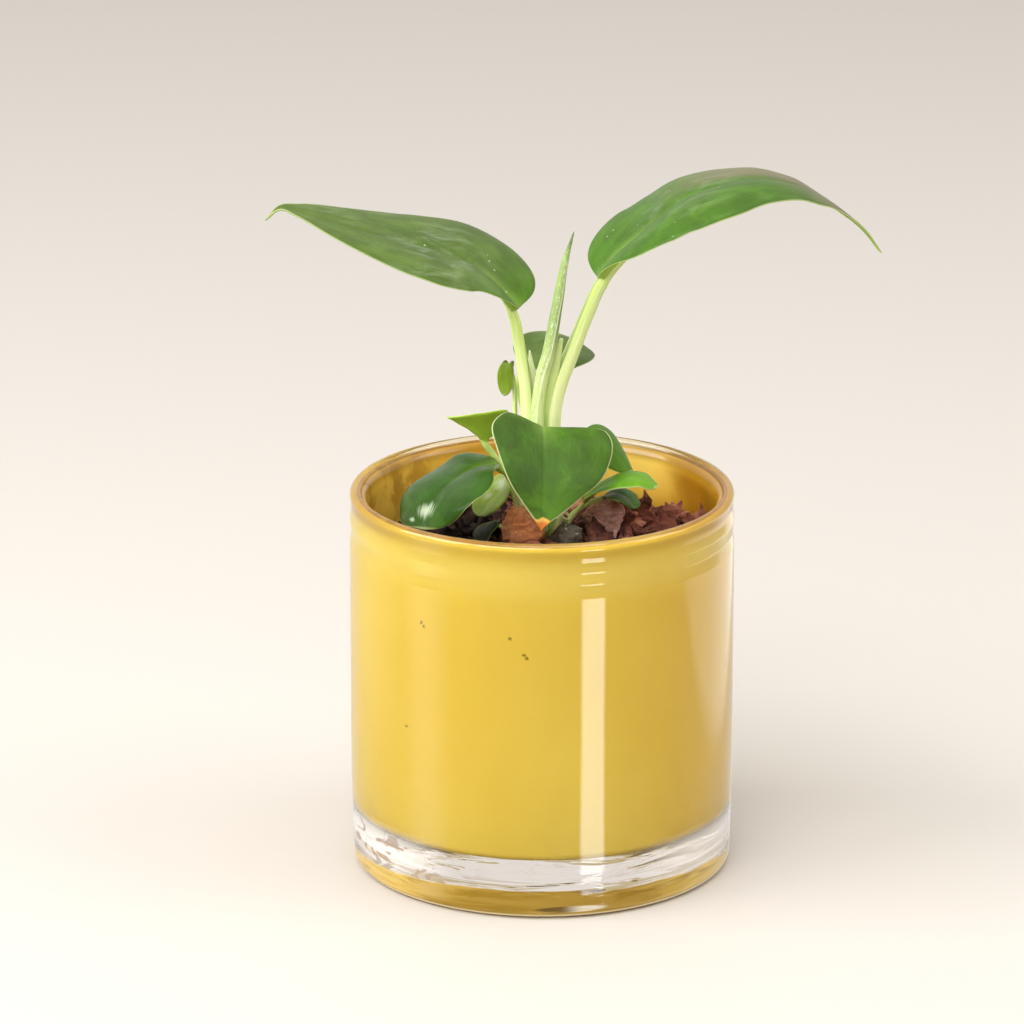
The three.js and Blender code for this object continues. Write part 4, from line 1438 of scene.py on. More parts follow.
@dataclass
class GlassPot:
    """Heavy tumbler of clear glass over opaque yellow glass, with a thick solid foot."""

    height: float = 111.0
    radius: float = 55.0
    foot_radius: float = 54.4
    foot_edge: float = 2.5
    belly: float = 45.0
    shoulder: float = 0.2
    shoulder_level: float = 84.0
    rim: float = 1.75
    layer_outer: float = 51.2
    layer_inner: float = 49.7
    layer_bottom: float = 16.5
    layer_floor: float = 17.9
    fused: float = 0.6
    flare: float = 2.6
    rings: tuple[Point, ...] = ((95.2, 0.0), (98.7, -0.36), (99.05, -0.355), (102.4, 0.03), (102.75, 0.035),
                                (105.3, -0.27), (106.7, -0.24), (109.3, 0.08))
    specks: tuple[Span, ...] = ((-32.8, 83.8), (-32.2, 82.9), (-8.6, 82.8), (-5.0, 78.0), (-37.0, 51.5),
                                (49.6, 62.4), (-4.2, 77.1))
    sides: int = 224

    def wall(self, height: float) -> float:
        """Works out the outer wall: a slight belly, a drawn-in shoulder and faint rings.

        Args:
            height: millimetres above the base.

        Returns:
            The outer radius there.
        """
        size = self.radius
        if height < self.belly:
            below = (self.belly - height) / (self.belly - self.foot_edge)
            size -= (self.radius - self.foot_radius) * below ** 2
        if height > self.shoulder_level:
            size -= self.shoulder * ((height - self.shoulder_level) / 25) ** 2.4
        levels, offsets = zip(*self.rings)
        return size + float(np.interp(height, levels, offsets))

    @staticmethod
    def arc(radius: float, height: float, size: float, start: float, end: float, steps: int) -> list[Point]:
        """Returns points of a rounded corner, between two angles in degrees."""
        angles = np.radians(np.linspace(start, end, steps))
        return [(radius + size * math.cos(a), height + size * math.sin(a)) for a in angles]

    def lathe(self, profile: Sequence[Point], name: str,
              bare: Callable[[float, float], bool]) -> bpy.types.Mesh:
        """Turns a profile about the pot's axis.

        Args:
            profile: radius and height pairs that start and end on the axis.
            name: the mesh's name.
            bare: whether a band with this middle radius and height takes the second material.

        Returns:
            The closed mesh.
        """
        angles = np.linspace(0, 2 * math.pi, self.sides, endpoint=False)
        inner = profile[1:-1]
        rings = [np.stack([r * np.cos(angles), r * np.sin(angles), np.full(self.sides, z)], 1)
                 for r, z in inner]
        points = np.concatenate([[[0, 0, profile[0][1]]], *rings, [[0, 0, profile[-1][1]]]])
        last = len(points) - 1
        faces, slots = [], []
        for k in range(self.sides):
            nxt = (k + 1) % self.sides
            faces.append((0, 1 + nxt, 1 + k))
            slots.append(int(bare(*profile[0])))
            for i in range(len(inner) - 1):
                a, b = 1 + i * self.sides, 1 + (i + 1) * self.sides
                faces.append((a + k, a + nxt, b + nxt, b + k))
                middle = [(inner[i][c] + inner[i + 1][c]) / 2 for c in (0, 1)]
                slots.append(int(bare(*middle)))
            a = 1 + (len(inner) - 1) * self.sides
            faces.append((a + k, a + nxt, last))
            slots.append(int(bare(*profile[-1])))
        return Shape(points, faces, slots=slots).mesh(name)

    def build(self) -> None:
        """Makes the clear body and the yellow layer; the clear inner wall ends inside the yellow glass."""
        rim_height = self.height - self.rim
        top = self.wall(rim_height)
        levels = np.r_[np.linspace(self.foot_edge, 91.5, 48), np.linspace(92, rim_height - 0.05, 70)]
        levels = np.union1d(levels, [height for height, _ in self.rings if height < rim_height])
        wall = [(self.wall(z), z) for z in levels]
        inner = self.layer_outer - self.fused
        body = [(0, 0), *[(r, 0) for r in (18, 36, 48)],
                *self.arc(self.foot_radius - self.foot_edge, self.foot_edge, self.foot_edge, -90, -4, 18),
                *wall,
                *self.arc(top - self.rim, rim_height, self.rim, 4, 172, 26),
                (inner, rim_height - 1.2), (inner, 60), (inner, 22),
                *self.arc(inner - 3, 20.2, 3, 0, -90, 6), (30, 17.2), (0, 17.2)]
        piece("clear_glass_body", self.lathe(body, "clear_glass_body", lambda r, z: False),
              [ClearGlassFinish()], ["pot_clear_glass"])
        layer = [(0, self.layer_bottom), (30, self.layer_bottom),
                 *self.arc(self.layer_outer - 2.2, self.layer_bottom + 2.2, 2.2, -90, 0, 10),
                 (self.layer_outer, 60), (self.layer_outer, 99), *self.lip(),
                 (self.layer_inner, 105), (self.layer_inner, 60),
                 *self.arc(self.layer_inner - 2, self.layer_floor + 2, 2, 0, -90, 6),
                 (30, self.layer_floor), (0, self.layer_floor)]

        def inside(radius: float, height: float) -> bool:
            """Returns whether a band of the layer faces into the pot."""
            edge = max((self.layer_inner + self.layer_outer) / 2, self.layer_outer + (height - 105) * 0.3)
            return height > self.layer_floor - 0.1 and radius < edge

        specks = tuple(self.on_layer(*spot) for spot in self.specks)
        piece("yellow_glass_layer", self.lathe(layer, "yellow_glass_layer", inside),
              [CasedGlassFinish(specks=specks), BareYellowGlassFinish()],
              ["pot_yellow_glass_layer"])

    def lip(self) -> list[Point]:
        """Lays out the top of the yellow layer, which flares out into the rim.

        Returns:
            Its radius and height pairs.
        """
        outer = [(self.layer_outer + self.flare * t ** 2, 100 + 8.6 * t) for t in np.linspace(0.1, 1, 8)]
        top = self.layer_outer + self.flare
        over = self.arc(top - 0.8, 108.7, 0.8, 10, 90, 5)
        return [*outer, *over, (51.9, 109.6), (51.0, 109.4), (50.3, 108.8), (49.9, 107.6)]

    def on_layer(self, x: float, z: float) -> Point:
        """Returns the point of the layer's front at a side distance and a height."""
        x = math.copysign(min(abs(x), self.layer_outer - 0.5), x)
        return (x, -math.sqrt(self.layer_outer ** 2 - x * x), z)


SPECIAL_CHIPS: dict[int, tuple[Finish, Slot]] = {
    1: (BarkFinish("orange_bark", (158, 84, 50), (216, 136, 88), (238, 170, 122)), Slot.BARK),
    2: (BarkFinish("greyish_bark", (140, 98, 86), (196, 146, 132), (226, 188, 176)), Slot.BARK),
    # Chip 11 is dark partly for its own moss and partly as painted shade.
    11: (BarkFinish("mossy_dark_bark", (36, 31, 24), (72, 64, 52), (122, 114, 98), 0.35), Slot.MOSSY_BARK)}


@dataclass
class BarkMix:
    """The bark chips at the surface, the fines under them and the fragments strewn between."""

    SPLINTER_RINGS = ((0, 0.7, 0.1), (0.3, 1, -0.1), (0.55, 0.78, 0.16), (0.8, 0.42, -0.08),
                      (1.0, 0.1, 0.1))
    SPLINTER_CORNERS = ((-0.5, -0.2), (0.1, -0.5), (0.5, 0.1), (-0.1, 0.5))

    radius: float = 49.4
    edge_level: float = 91.5
    centre_level: float = 96.0
    bottom: float = 18.2
    chips: int = 22
    cuts: int = 6
    cell: float = 0.17
    crease: float = 24.0
    noise_seed: int = 7
    strewn: tuple[tuple[str, float, float, float, float, float, int, int], ...] = (
        ("strewn_pieces", 6.5, 7.5, 60000.0, 7.0, 11.0, 3, 2),
        ("strewn_fragments", 1.0, 3.2, 100000.0, 2.6, 6.6, 3, 4),
        ("strewn_crumbs", 1.0, 1.5, 260000.0, 0.7, 2.2, 1, 9))
    splinters: tuple[tuple[Point, Point, float, float], ...] = (
        ((32, 6, 95.5), (40.5, 6, 104.4), 7.6, 3.2), ((45, 8, 94), (46.0, 8, 103.4), 5.2, 2.6),
        ((21.5, 7.5, 97), (23.5, 7, 109.8), 8.0, 3.2), ((28, 8, 96), (30, 7.5, 107.6), 7.6, 3.2),
        ((37, 11, 95), (36, 12, 102.6), 6.4, 2.8))

    def level(self, x: float, y: float) -> float:
        """Works out the height of the fines as the CAD solid has it.

        Args:
            x: millimetres to the right.
            y: millimetres towards the back.

        Returns:
            The height there.
        """
        heap = 1 - (x * x + y * y) / self.radius ** 2
        lumps = 0.7 * math.sin(0.42 * x + 1.3) * math.cos(0.37 * y - 0.6)
        lumps += 0.4 * math.sin(0.9 * x - 0.7 * y)
        return self.edge_level + (self.centre_level - self.edge_level) * heap + 0.035 * x + lumps

    def crumbled(self, x: float, y: float) -> float:
        """Adds crumbs and pits to the fines' height.

        Args:
            x: millimetres to the right.
            y: millimetres towards the back.

        Returns:
            The height there.
        """
        spot = Vector((x * 0.35, y * 0.35, 3.1))
        crumbs = noise.fractal(spot, 0.8, 2.2, 4)
        pits = max(0.0, noise.noise(Vector((x * 0.16, y * 0.16, 9.4))) - 0.12) * 6
        return self.level(x, y) + 0.9 * crumbs - min(pits, 2.4)

    def top(self, margin: float) -> Shape:
        """Makes the surface that fragments are strewn on.

        Args:
            margin: how far it stays from the wall.

        Returns:
            The fines' upper surface, without the part under the crown.
        """
        sectors, rings = 150, np.linspace(7.5, self.radius - margin, 46)
        places = [(r * math.cos(a), r * math.sin(a)) for r in rings
                  for a in np.linspace(0, 2 * math.pi, sectors, endpoint=False)]
        points = np.array([(x, y, self.crumbled(x, y) + 0.2) for x, y in places])
        return Shape(points, band_faces(len(rings), sectors, outward=False))

    def build_fines(self) -> None:
        """Makes the filled body with its crumbly surface."""
        sectors = 200
        rings = np.linspace(0.6, self.radius, 64)
        angles = np.linspace(0, 2 * math.pi, sectors, endpoint=False)
        points = [(0.0, 0.0, self.crumbled(0, 0))]
        points += [(r * math.cos(a), r * math.sin(a), self.crumbled(r * math.cos(a), r * math.sin(a)))
                   for r in rings for a in angles]
        low = [(self.radius, 60.0), (self.radius, 21.0), (self.radius - 2.5, self.bottom),
               (25.0, self.bottom)]
        points += [(r * math.cos(a), r * math.sin(a), z) for r, z in low for a in angles]
        points.append((0.0, 0.0, self.bottom))
        count = len(rings) + len(low)
        faces = [(0, 1 + k, 1 + (k + 1) % sectors) for k in range(sectors)]
        faces += band_faces(count, sectors, 1, False)
        a, last = 1 + (count - 1) * sectors, len(points) - 1
        faces += [(a + k, last, a + (k + 1) % sectors) for k in range(sectors)]
        mesh = Shape(np.array(points), faces).mesh("bark_fines")
        piece("bark_fines", mesh, [MediumFinish()], ["growing_medium"])

    def build_fragments(self, tree: GrowthTree) -> None:
        """Strews small bark fragments and crumbs over the fines.

        Args:
            tree: the scatter tree.
        """
        # Fragments get painted shade towards the left.
        reddish = BarkFinish("small_bark", (46, 24, 18), (100, 54, 40), (150, 92, 70), shaded=0.9)
        for name, margin, spacing, density, small, large, detail, seed in self.strewn:
            mesh = tree.grow(name, self.top(margin).mesh(name + ".ground"), {
                "Spacing": spacing * MM, "Density": density, "Small": small * MM, "Large": large * MM,
                "Detail": detail, "Seed": seed, "Finish": reddish.material()})
            piece(name, mesh, [reddish])

    def build_splinters(self) -> None:
        """Adds the pointed splinters that stand up between the chips."""
        finish = BarkFinish("splinter_bark", (70, 34, 26), (124, 68, 52), (176, 112, 90))
        for number, (foot, point, wide, thick) in enumerate(self.splinters):
            foot, point = np.array(foot, float), np.array(point, float)
            along = point - foot
            across = np.cross(along, (0.25, 1.0, 0.1 * number - 0.3))
            across /= np.linalg.norm(across)
            face = np.cross(across, along) / np.linalg.norm(along)
            rings = []
            for share, width, shift in self.SPLINTER_RINGS:
                middle = foot + along * share + across * shift * wide
                for a, b in self.SPLINTER_CORNERS:
                    outward = across * a * wide * width
                    rings.append(middle + outward + face * b * thick * (0.4 + 0.6 * width))
            faces = band_faces(len(rings) // 4, 4)
            faces += [(3, 2, 1, 0), tuple(len(rings) - 4 + k for k in range(4))]
            mesh = Shape(np.array(rings), faces).mesh(f"bark_splinter_{number + 1}")
            self.roughen(mesh, number + 40, 5, 0.4)
            piece(f"bark_splinter_{number + 1}", mesh, [finish])

    def broken(self, spot: Vector, offset: Vector) -> float:
        """Works out a face of flat breaks at many levels and angles.

        Args:
            spot: a place on the chip in millimetres.
            offset: sets the chip's own pattern.

        Returns:
            How far out the face lies there, in millimetres.
        """
        place = spot * self.cell + offset
        centre = noise.voronoi(place)[1][0]
        lean = noise.noise_vector(centre * 7.7)
        return 0.5 * lean.x + 0.33 * (place - centre).dot(lean) / self.cell

    def build_chip(self, number: int) -> None:
        """Breaks up the faces of one chip's solid and dresses it.

        Args:
            number: the chip's number in its node's name.
        """
        node = f"bark_chip_{number:02d}"
        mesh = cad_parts[node].data.copy()
        self.roughen(mesh, number, self.cuts, 1.0)
        # Plain chips get painted shade towards the left.
        finish, slot = SPECIAL_CHIPS.get(number, (BarkFinish("red_brown_bark", shaded=0.92), Slot.BARK))
        piece(f"broken_bark_{number:02d}", mesh, [finish], [node])

    def roughen(self, mesh: bpy.types.Mesh, number: int, cuts: int, depth: float) -> None:
        """Breaks the faces of a mesh up into flat breaks, ledges and fibres.

        Args:
            mesh: the mesh, which is changed.
            number: sets its own pattern.
            cuts: how many cuts each edge gets.
            depth: how deep the breaks are, beside a chip's.
        """
        work = bmesh.new()
        work.from_mesh(mesh)
        bmesh.ops.remove_doubles(work, verts=work.verts, dist=1e-6)
        bmesh.ops.subdivide_edges(work, edges=work.edges, cuts=cuts, use_grid_fill=True)
        bmesh.ops.recalc_face_normals(work, faces=work.faces)
        work.normal_update()
        offset = Vector((number * 7.3, number * 3.1, number * 1.7))
        grain = Matrix.Rotation(number * 1.1, 3, "Z") @ Matrix.Rotation(0.5 * math.sin(number), 3, "X")
        for vertex in work.verts:
            spot = vertex.co / MM
            laid = grain @ spot
            drawn = Vector((laid.x * 0.22, laid.y * 0.9, laid.z * 0.9)) + offset
            fibres = noise.fractal(drawn, 0.7, 2.1, 4)
            steps = math.floor(laid.z * 0.9 + noise.noise(spot * 0.24 + offset) * 2) % 2
            shift = 0.16 * fibres + 0.2 * steps + self.broken(spot, offset) - 0.15
            vertex.co += vertex.normal * shift * depth * MM
        work.to_mesh(mesh)
        work.free()
        mesh.polygons.foreach_set("use_smooth", [True] * len(mesh.polygons))
        mesh.set_sharp_from_angle(angle=math.radians(self.crease))

    def build(self) -> None:
        """Makes the fines, the fragments, the chips and the splinters, broken alike in every run."""
        noise.seed_set(self.noise_seed)
        self.build_fines()
        self.build_fragments(scatter_tree())
        for number in range(1, self.chips + 1):
            self.build_chip(number)
        self.build_splinters()


MATURE = dict(base=(78, 122, 14), middle=(76, 98, 36), tip=(86, 106, 44), under=(128, 160, 56))
LEAVES: list[tuple[Blade, Petiole, Finish, Slot]] = [
    (Blade("left_leaf", [[-6.9, -1, 164], [-13.7, -2, 172.2], [-21.3, -3, 178.4], [-31.7, -6, 183],
                         [-42, -9, 186.5], [-57, -13, 191.6], [-68, -17, 196.5], [-73.2, -19, 198.2],
                         [-77.3, -21, 195.3]], (0, 1, 0), 41.4, 0.73, 1.49, (-3, 9.7), (14, -4, -6),
           (40, 4, 28), (-26, -26), 84, 18, keel=1.9),
     Petiole("left_leaf", [[-3.2, 2.6, 99], [-3.4, 2.6, 118], [-3.9, 2.4, 136.1], [-4.8, 2.3, 143.5],
                           [-5.9, 1.6, 151.2], [-7.1, 0.4, 158.9], [-7.3, -0.6, 163.2]],
             (2.9, 2.7, 2.5, 2.25, 2.0, 1.85), 9.0, 0.9),
     LeafFinish("left_leaf_skin", **MATURE, scuffs=0.6, veins=0.02, rib_show=0.7, rib_reach=0.42),
     Slot.LEAF),
    (Blade("right_leaf", [[16, 2, 172], [21.6, 2, 179], [27.2, 2, 184.3], [32.9, 3, 189.3],
                          [38.5, 4, 193.7], [45.3, 5, 196.9], [53.5, 7, 198.7], [62.3, 9, 199.1],
                          [71.7, 11, 196.8], [78.7, 13, 192.7], [85.6, 14, 188], [91.4, 15, 182.8],
                          [96.7, 17, 175.4]], (0, -1, 0), 44.6, 0.68, 1.57, (7.2, -3), (32, 5, -8),
           (26, -2, 25), (-25, -51), 92, 18, keel=1.9),
     Petiole("right_leaf", [[3.3, 2.8, 99], [2.3, 2.8, 118], [2.7, 2.9, 134.5], [5.5, 3, 143.3],
                            [8.4, 3, 150.7], [11.1, 2.7, 158.2], [14.2, 2.2, 165.7], [15.9, 2, 171.2]],
             (3.3, 3.2, 3.0, 2.65, 2.3, 2.2), 16.0, 1.5),
     # The right leaf's greyish-mauve tip colour is partly its own and partly painted sheen; it also gets a
     # patch of painted sheen on one half.
     LeafFinish("right_leaf_skin", (66, 110, 8), (64, 98, 24), (112, 96, 64), (160, 190, 78), scuffs=0.35,
                veins=0.03, rib_show=0.6, rib_reach=0.55, painted_sheen=(118, 108, 84)), Slot.LEAF),
    (Blade("front_leaf", [[0.3, -5, 130.3], [0.4, -9.5, 128.7], [0.4, -15, 124.2], [0.3, -20, 119.3],
                          [0.1, -24, 113.2], [-0.2, -28, 106.7]], (-1, 0, 0), 40.3, 0.52, 1.23, (5, -1.6),
           (-8, -33, -24), (31, 48, 33), (6, 10), 72, 18, keel=1.3),
     Petiole("front_leaf", [[0.2, -3.4, 99], [0.2, -4.2, 116], [0.3, -4.6, 129]], (1.7, 1.55, 1.4), 4.0),
     LeafFinish("front_leaf_skin", (68, 98, 30), (62, 97, 18), (78, 118, 18), (150, 184, 80),
                rib=(146, 182, 86), margin=(218, 222, 168), rib_width=2.4, rib_show=0.6, rib_reach=0.5,
                margin_width=0.48, margin_show=0.75, burnt=(206, 118, 46), lanes=0.2, mottle=0.75),
     Slot.LEAF),
    (Blade("low_left_leaf", [[-12.4, -6.5, 119.8], [-18, -10.5, 120.2], [-23.1, -14.5, 118.8],
                             [-27.9, -19.5, 116.2], [-30.9, -23.5, 112.7], [-32.9, -27.5, 106.9]],
           (0, 1, 0), 35.9, 0.78, 0.5, (-1.3, 4.6), (16, 11, -41), (9, 6, 53), (-17, -29), 64, 16,
           keel=1.0),
     Petiole("low_left_leaf", [[-2.6, -4.4, 99], [-3.1, -4.8, 106], [-4.6, -5.3, 112], [-8.2, -6.1, 117],
                               [-11.7, -6.8, 118.9]], (1.3, 1.2, 1.05), 4.0),
     # The low-left leaf carries painted highlights near its tip.
     LeafFinish("low_left_leaf_skin", (76, 118, 18), (44, 78, 12), (40, 70, 14), (150, 184, 80),
                roughness=0.22, gloss=0.15, rib_width=1.5, rib_show=0.45, margin_show=0.4, veins=0.02,
                lanes=0.2, painted_glints=((0.88, 0.1, 0.07, 0.3), (0.93, 0.55, 0.03, 0.14))), Slot.LEAF),
    (Blade("hook_leaf", [[-16.1, -1, 125.2], [-18.6, -3, 128.2], [-22.6, -5, 131.5], [-26.8, -7, 133.9]],
           (0, 1, 0), 28.2, 0.59, 1.19, (-2, -0.8), (72, 48, 37), (-25, -22, -18), (11, 6), 48, 12,
           keel=1.0),
     Petiole("hook_leaf", [[-4.2, -1.6, 99], [-5.6, -1.4, 107], [-8.4, -0.8, 113.4], [-12.2, -0.2, 118.6],
                           [-14.3, -0.3, 121.2], [-15.9, -0.8, 124.5]], (1.25, 1.2, 1.15), 3.0),
     LeafFinish("hook_leaf_skin", (190, 212, 80), (146, 180, 50), (116, 152, 40), (168, 198, 66),
                rib_width=1.2), Slot.YOUNG_LEAF),
    (Blade("shaded_leaf", [[-12.6, -2.2, 101.6], [-15.6, -4.6, 101.2], [-16.8, -8.4, 99.8],
                           [-15.8, -12.4, 98]], (-1, 0, 0), 8, 0.5, 0.9, (0, 0), (30, 25, 15),
           (-26, -26, -11), (-20, -20), 32, 8, keel=0.7),
     Petiole("shaded_leaf", [[-5, -2.4, 96], [-8.8, -2.2, 99], [-12.1, -2.1, 101.2]], (0.95, 0.8), 2.0),
     # The shaded leaf's colours are painted near-black green for the shade it lies in.
     LeafFinish("shaded_leaf_skin", (40, 54, 24), (30, 42, 18), (28, 38, 18), (60, 78, 32), rib_show=0.2,
                margin_show=0.3), Slot.LEAF),
    (Blade("under_leaf", [[-9.9, 6, 112.4], [-11.6, 4, 109.1], [-14.7, 2, 105.9], [-19, 0, 102.6]],
           (-0.7, 0.7, 0), 12.5, 0.53, 0.5, (-1.2, 1.4), (15, 11, -1), (-3, -6, 4), (10, 10), 36, 9,
           keel=0.8),
     Petiole("under_leaf", [[-6, 0.5, 98], [-6.5, 3.1, 103.5], [-7.7, 5, 107.8], [-9.7, 6, 110.6]],
             (1.0, 0.85), 2.0),
     # The under leaf carries painted highlights.
     LeafFinish("under_leaf_skin", (172, 190, 70), (150, 178, 40), (128, 156, 24), (150, 178, 40),
                roughness=0.14, gloss=0.5, rib_show=0.3, margin_show=0.3,
                painted_glints=((0.3, 0.1, 0.2, 0.6), (0.62, 0.35, 0.12, 0.35))), Slot.YOUNG_LEAF),
    (Blade("small_leaf", [[-8.3, 8, 144.3], [-9.5, 7.6, 145.4], [-10.4, 7.2, 142.9], [-10.6, 6.8, 139.5],
                          [-10.7, 6.4, 136.1]], (-1, 0, 0), 5.2, 0.7, 0.55, (0.1, 0.1), (10, 20, 30),
           (-5, -15, -30), (-20, -20), 32, 8, keel=0.5),
     Petiole("small_leaf", [[-3.4, 6, 99], [-6.6, 7, 118], [-7.9, 7.2, 132.3], [-7.6, 7.4, 136.7],
                            [-7.7, 7.8, 141], [-8.1, 8, 142.9]], (0.95, 0.8, 0.65), 1.6),
     LeafFinish("small_leaf_skin", (116, 146, 34), (112, 136, 28), (124, 148, 44), (130, 150, 40),
                rib_width=0.6), Slot.YOUNG_LEAF),
    (Blade("back_leaf", [[-6.4, 13, 143.6], [-1.6, 15, 145.4], [3.9, 17, 146.3], [9.6, 18.5, 146.2],
                         [15, 20, 144.5]], (0, -1, 0), 21.3, 0.53, 0.64, (0.8, -1.6), (49, 26, 2),
           (-25, -11, -2), (-15, -13), 48, 12, keel=0.9),
     Petiole("back_leaf", [[2.4, 7.4, 99], [-2.4, 9, 122], [-6.6, 9.4, 135.1], [-7.5, 11, 139.6],
                           [-6.9, 12.6, 142.8]], (1.15, 0.95), 3.0),
     LeafFinish("back_leaf_skin", (96, 120, 56), (90, 112, 52), (92, 114, 54), (100, 122, 56),
                rib_show=0.25, margin_show=0.4), Slot.LEAF),
    (Blade("mid_right_leaf", [[11, 6.5, 121.1], [15, 8, 123.6], [19, 8.5, 122.3], [22.7, 7.5, 118.1],
                              [25.6, 5.5, 113.6]], (0, -1, 0), 20, 0.7, 0.5, (-1.2, 1.6), (30, 16, 3),
           (-14, -6, -21), (-36, -33), 48, 12, keel=0.9),
     Petiole("mid_right_leaf", [[5.5, 6.2, 98.5], [8.4, 6.6, 112], [10.7, 6.4, 120.4]], (1.15, 1.05), 3.0),
     LeafFinish("mid_right_leaf_skin", (112, 142, 50), (72, 112, 14), (76, 118, 18), (132, 164, 50),
                rib_show=0.3, gloss=0.1), Slot.LEAF),
    (Blade("low_right_leaf", [[11.3, -2, 107], [16.1, -4, 111.6], [22.3, -6, 115.3], [28.2, -8, 116.1],
                              [32.5, -10, 113.8]], (0, -1, 0), 12.2, 0.7, 0.5, (0.6, -1.4), (11, 9, 12),
           (22, 15, -21), (-30, -24), 52, 12, keel=0.9),
     Petiole("low_right_leaf", [[5.4, -2.3, 98.4], [8.6, -2.2, 103.4], [10.9, -2.1, 106.5]], (1.05, 0.85),
             3.0),
     LeafFinish("low_right_leaf_skin", (124, 168, 40), (86, 134, 14), (98, 146, 24), (150, 184, 66),
                rib_show=0.3), Slot.LEAF),
    (Blade("under_right_leaf", [[17.3, 0, 108], [20.7, -1, 109.4], [24.1, -3, 108.6], [26.6, -5, 105.9]],
           (0, -1, 0), 13.2, 0.62, 0.52, (0, -0.6), (-5, 8, 30), (17, 6, -9), (-19, -16), 40, 10, keel=0.7),
     Petiole("under_right_leaf", [[6.3, -0.1, 100.2], [9, 0.3, 104.6], [13.3, 0.2, 106.5],
                                  [16.7, 0, 107.8]], (0.95, 0.85), 2.0),
     LeafFinish("under_right_leaf_skin", (74, 118, 20), (54, 92, 14), (58, 98, 18), (100, 140, 40),
                rib_show=0.2, margin_show=0.1), Slot.LEAF),
]


@dataclass
class Plant:
    """The plant: its crown, leaves, rolled new leaf, sheath and cut stub."""

    stalk_finish: Finish = PetioleFinish("leaf_stalk_skin")
    sheath_finish: Finish = PetioleFinish("sheath_skin", (214, 230, 150), (224, 236, 176), (236, 242, 204))
    wing_finish: Finish = PetioleFinish("stalk_wing_skin", (196, 220, 126), (196, 216, 130),
                                        (208, 222, 150))

    def build(self) -> None:
        """Makes every leaf on its stalk, then the parts of the crown."""
        tree = stalk_tree()
        for blade, petiole, finish, slot in LEAVES:
            blade.build(finish, slot)
            petiole.build(tree, self.stalk_finish, blade)
        Spear([[0.2, 0.4, 99], [-0.8, 0.3, 118], [-1.3, 0.2, 134], [0.0, 0, 144.2], [1.9, -0.3, 151.7],
               [4.4, -0.6, 166.5], [6.3, -0.6, 177.5], [8.9, -0.6, 186.6]],
              [1.7, 1.7, 1.8, 1.85, 1.9, 1.9, 1.85, 1.68, 1.42, 1.0, 0.12]).build()
        Bract("pointed_sheath", [[-0.3, 5.6, 99], [-1.6, 5.4, 122], [-2.9, 5.4, 142], [-3.6, 5.5, 150]],
              [1.7, 2.0, 2.2, 2.3, 1.8, 0.2], ["sheath"]).build(self.sheath_finish)
        Bract("stalk_wing", [[0.9, 1.9, 118], [1.3, 1.9, 134], [3.1, 2.0, 145], [5.5, 2.0, 154.5]],
              [1.2, 1.7, 1.9, 2.0, 1.7, 0.5]).build(self.wing_finish)
        CutStub([[2.8, -4.2, 96], [5, -6.6, 101.4], [6.8, -8.2, 105]], [1.3, 1.3, 1.35, 1.4, 1.45]).build()
        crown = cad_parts["crown_stem"]
        crown.data.materials.clear()
        crown.data.materials.append(CrownFinish().material())
        LOG.info("crown_stem: carried over")


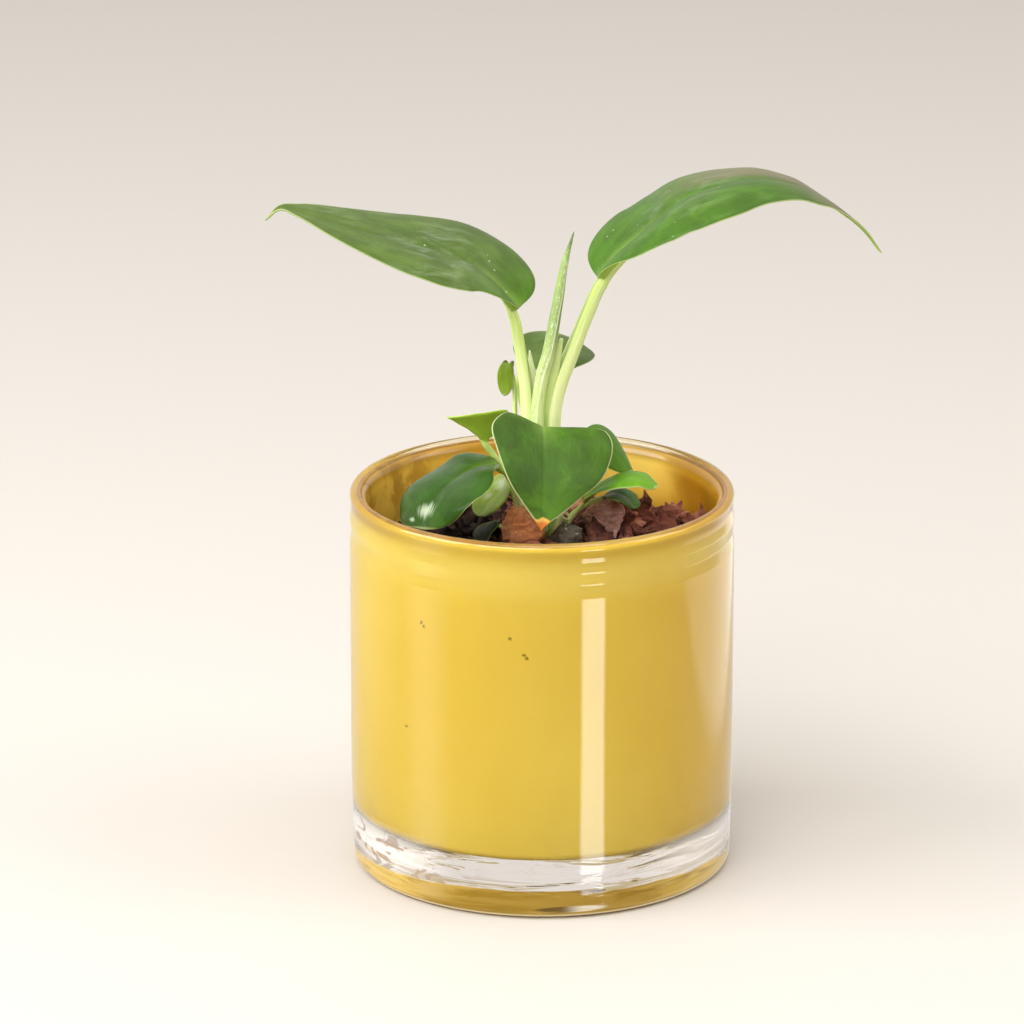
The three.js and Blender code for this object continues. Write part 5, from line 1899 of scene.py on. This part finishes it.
@dataclass
class Studio:
    """Camera, pale floor and soft lights."""

    camera_distance: float = 1.86975
    camera_height: float = 0.70152
    pitch: float = 17.739
    yaw: float = 0.263
    focal_pixels: float = 6872.4
    image_pixels: float = 1024.0
    floor_size: float = 6.0
    floor_drop: float = 0.0004
    aim_height: float = 0.09
    panels: tuple[tuple[str, float, float, float, Span, float, float], ...] = (
        ("left_window", -72, 34, 1.6, (1.3, 1.3), 30.5, 0.2),
        ("front_panel", -20, 40, 2.4, (1.7, 1.2), 43, 0.2),
        ("top_panel", 20, 76, 1.5, (1.1, 1.1), 11, 0.2),
        ("right_fill", 80, 38, 2.0, (1.4, 1.4), 19, 0.2),
        ("low_strip", 30, -21.0, 1.2, (0.33, 0.24), 1.75, 0.35),
        ("low_left_card", -72, -21.0, 1.2, (0.8, 0.5), 1.6, 0.9),
        ("low_right_card", 128, -16.7, 1.2, (1.85, 0.22), 1.1, 0.3))

    def build_camera(self) -> None:
        """Makes the camera that was fitted to the pot in the photograph."""
        data = bpy.data.cameras.new("camera")
        data.sensor_width = 36.0
        data.lens = self.focal_pixels * data.sensor_width / self.image_pixels
        data.clip_end = 50.0
        camera = bpy.data.objects.new("camera", data)
        camera.location = (0.0, -self.camera_distance, self.camera_height)
        camera.rotation_euler = (math.radians(90 - self.pitch), 0.0, math.radians(self.yaw))
        bpy.context.scene.collection.objects.link(camera)
        bpy.context.scene.camera = camera

    def build_floor(self) -> None:
        """Makes the pale floor."""
        half = self.floor_size / 2
        mesh = bpy.data.meshes.new("floor")
        corners = [(-half, -half), (half, -half), (half, half), (-half, half)]
        mesh.from_pydata([(x, y, -self.floor_drop) for x, y in corners], [], [(0, 1, 2, 3)])
        mesh.materials.append(FloorFinish().material())
        floor = bpy.data.objects.new("floor", mesh)
        bpy.context.scene.collection.objects.link(floor)
        floor.visible_glossy = False

    def light(self, name: str, azimuth: float, elevation: float, distance: float, size: Span, power: float,
              feather: float) -> None:
        """Adds a soft panel that faces the plant.

        Args:
            name: the light's name.
            azimuth: degrees round from the front, positive towards the right.
            elevation: degrees above the level of the pot.
            distance: metres from the pot.
            size: width and height in metres.
            power: watts.
            feather: share of each half that fades out towards the edge.
        """
        data = bpy.data.lights.new(name, "AREA")
        data.shape = "RECTANGLE"
        data.size, data.size_y = size
        data.energy = power
        data.use_nodes = True
        w = NodeWriter(data.node_tree)
        across, up, _ = w.split(w.node("ShaderNodeNewGeometry").outputs["Parametric"])
        edges = [w.ease(w.size(w.less(part, 0.5)), 0.5, 0.5 - feather / 2) for part in (across, up)]
        w.tree.links.new(w.times(*edges), data.node_tree.nodes["Emission"].inputs["Strength"])
        lamp = bpy.data.objects.new(name, data)
        a, e = math.radians(azimuth), math.radians(elevation)
        offset = Vector((math.sin(a) * math.cos(e), -math.cos(a) * math.cos(e), math.sin(e))) * distance
        lamp.location = Vector((0, 0, self.aim_height)) + offset
        lamp.rotation_euler = (-offset).to_track_quat("-Z", "Y").to_euler()
        lamp.visible_camera = False
        bpy.context.scene.collection.objects.link(lamp)

    def build(self) -> None:
        """Makes the camera, floor, sky and panels."""
        self.build_camera()
        self.build_floor()
        world = bpy.data.worlds.new("soft_room")
        world.use_nodes = True
        w = NodeWriter(world.node_tree)
        background = world.node_tree.nodes["Background"]
        background.inputs["Color"].default_value = linear((252, 248, 243))
        outward = w.split(w.node("ShaderNodeTexCoord").outputs["Generated"])
        wall = w.scale_to(w.ease(outward[1], -0.3, 0.6), 0.36, 0.86)
        w.tree.links.new(wall, background.inputs["Strength"])
        bpy.context.scene.world = world
        bpy.context.scene.view_settings.view_transform = "Standard"
        for panel in self.panels:
            self.light(*panel)


def main() -> None:
    """Builds the pot, the mix, the plant and the studio."""
    logging.basicConfig(level=logging.INFO, format="%(name)s: %(message)s")
    GlassPot().build()
    BarkMix().build()
    Plant().build()
    Studio().build()


if __name__ == "__main__":
    main()
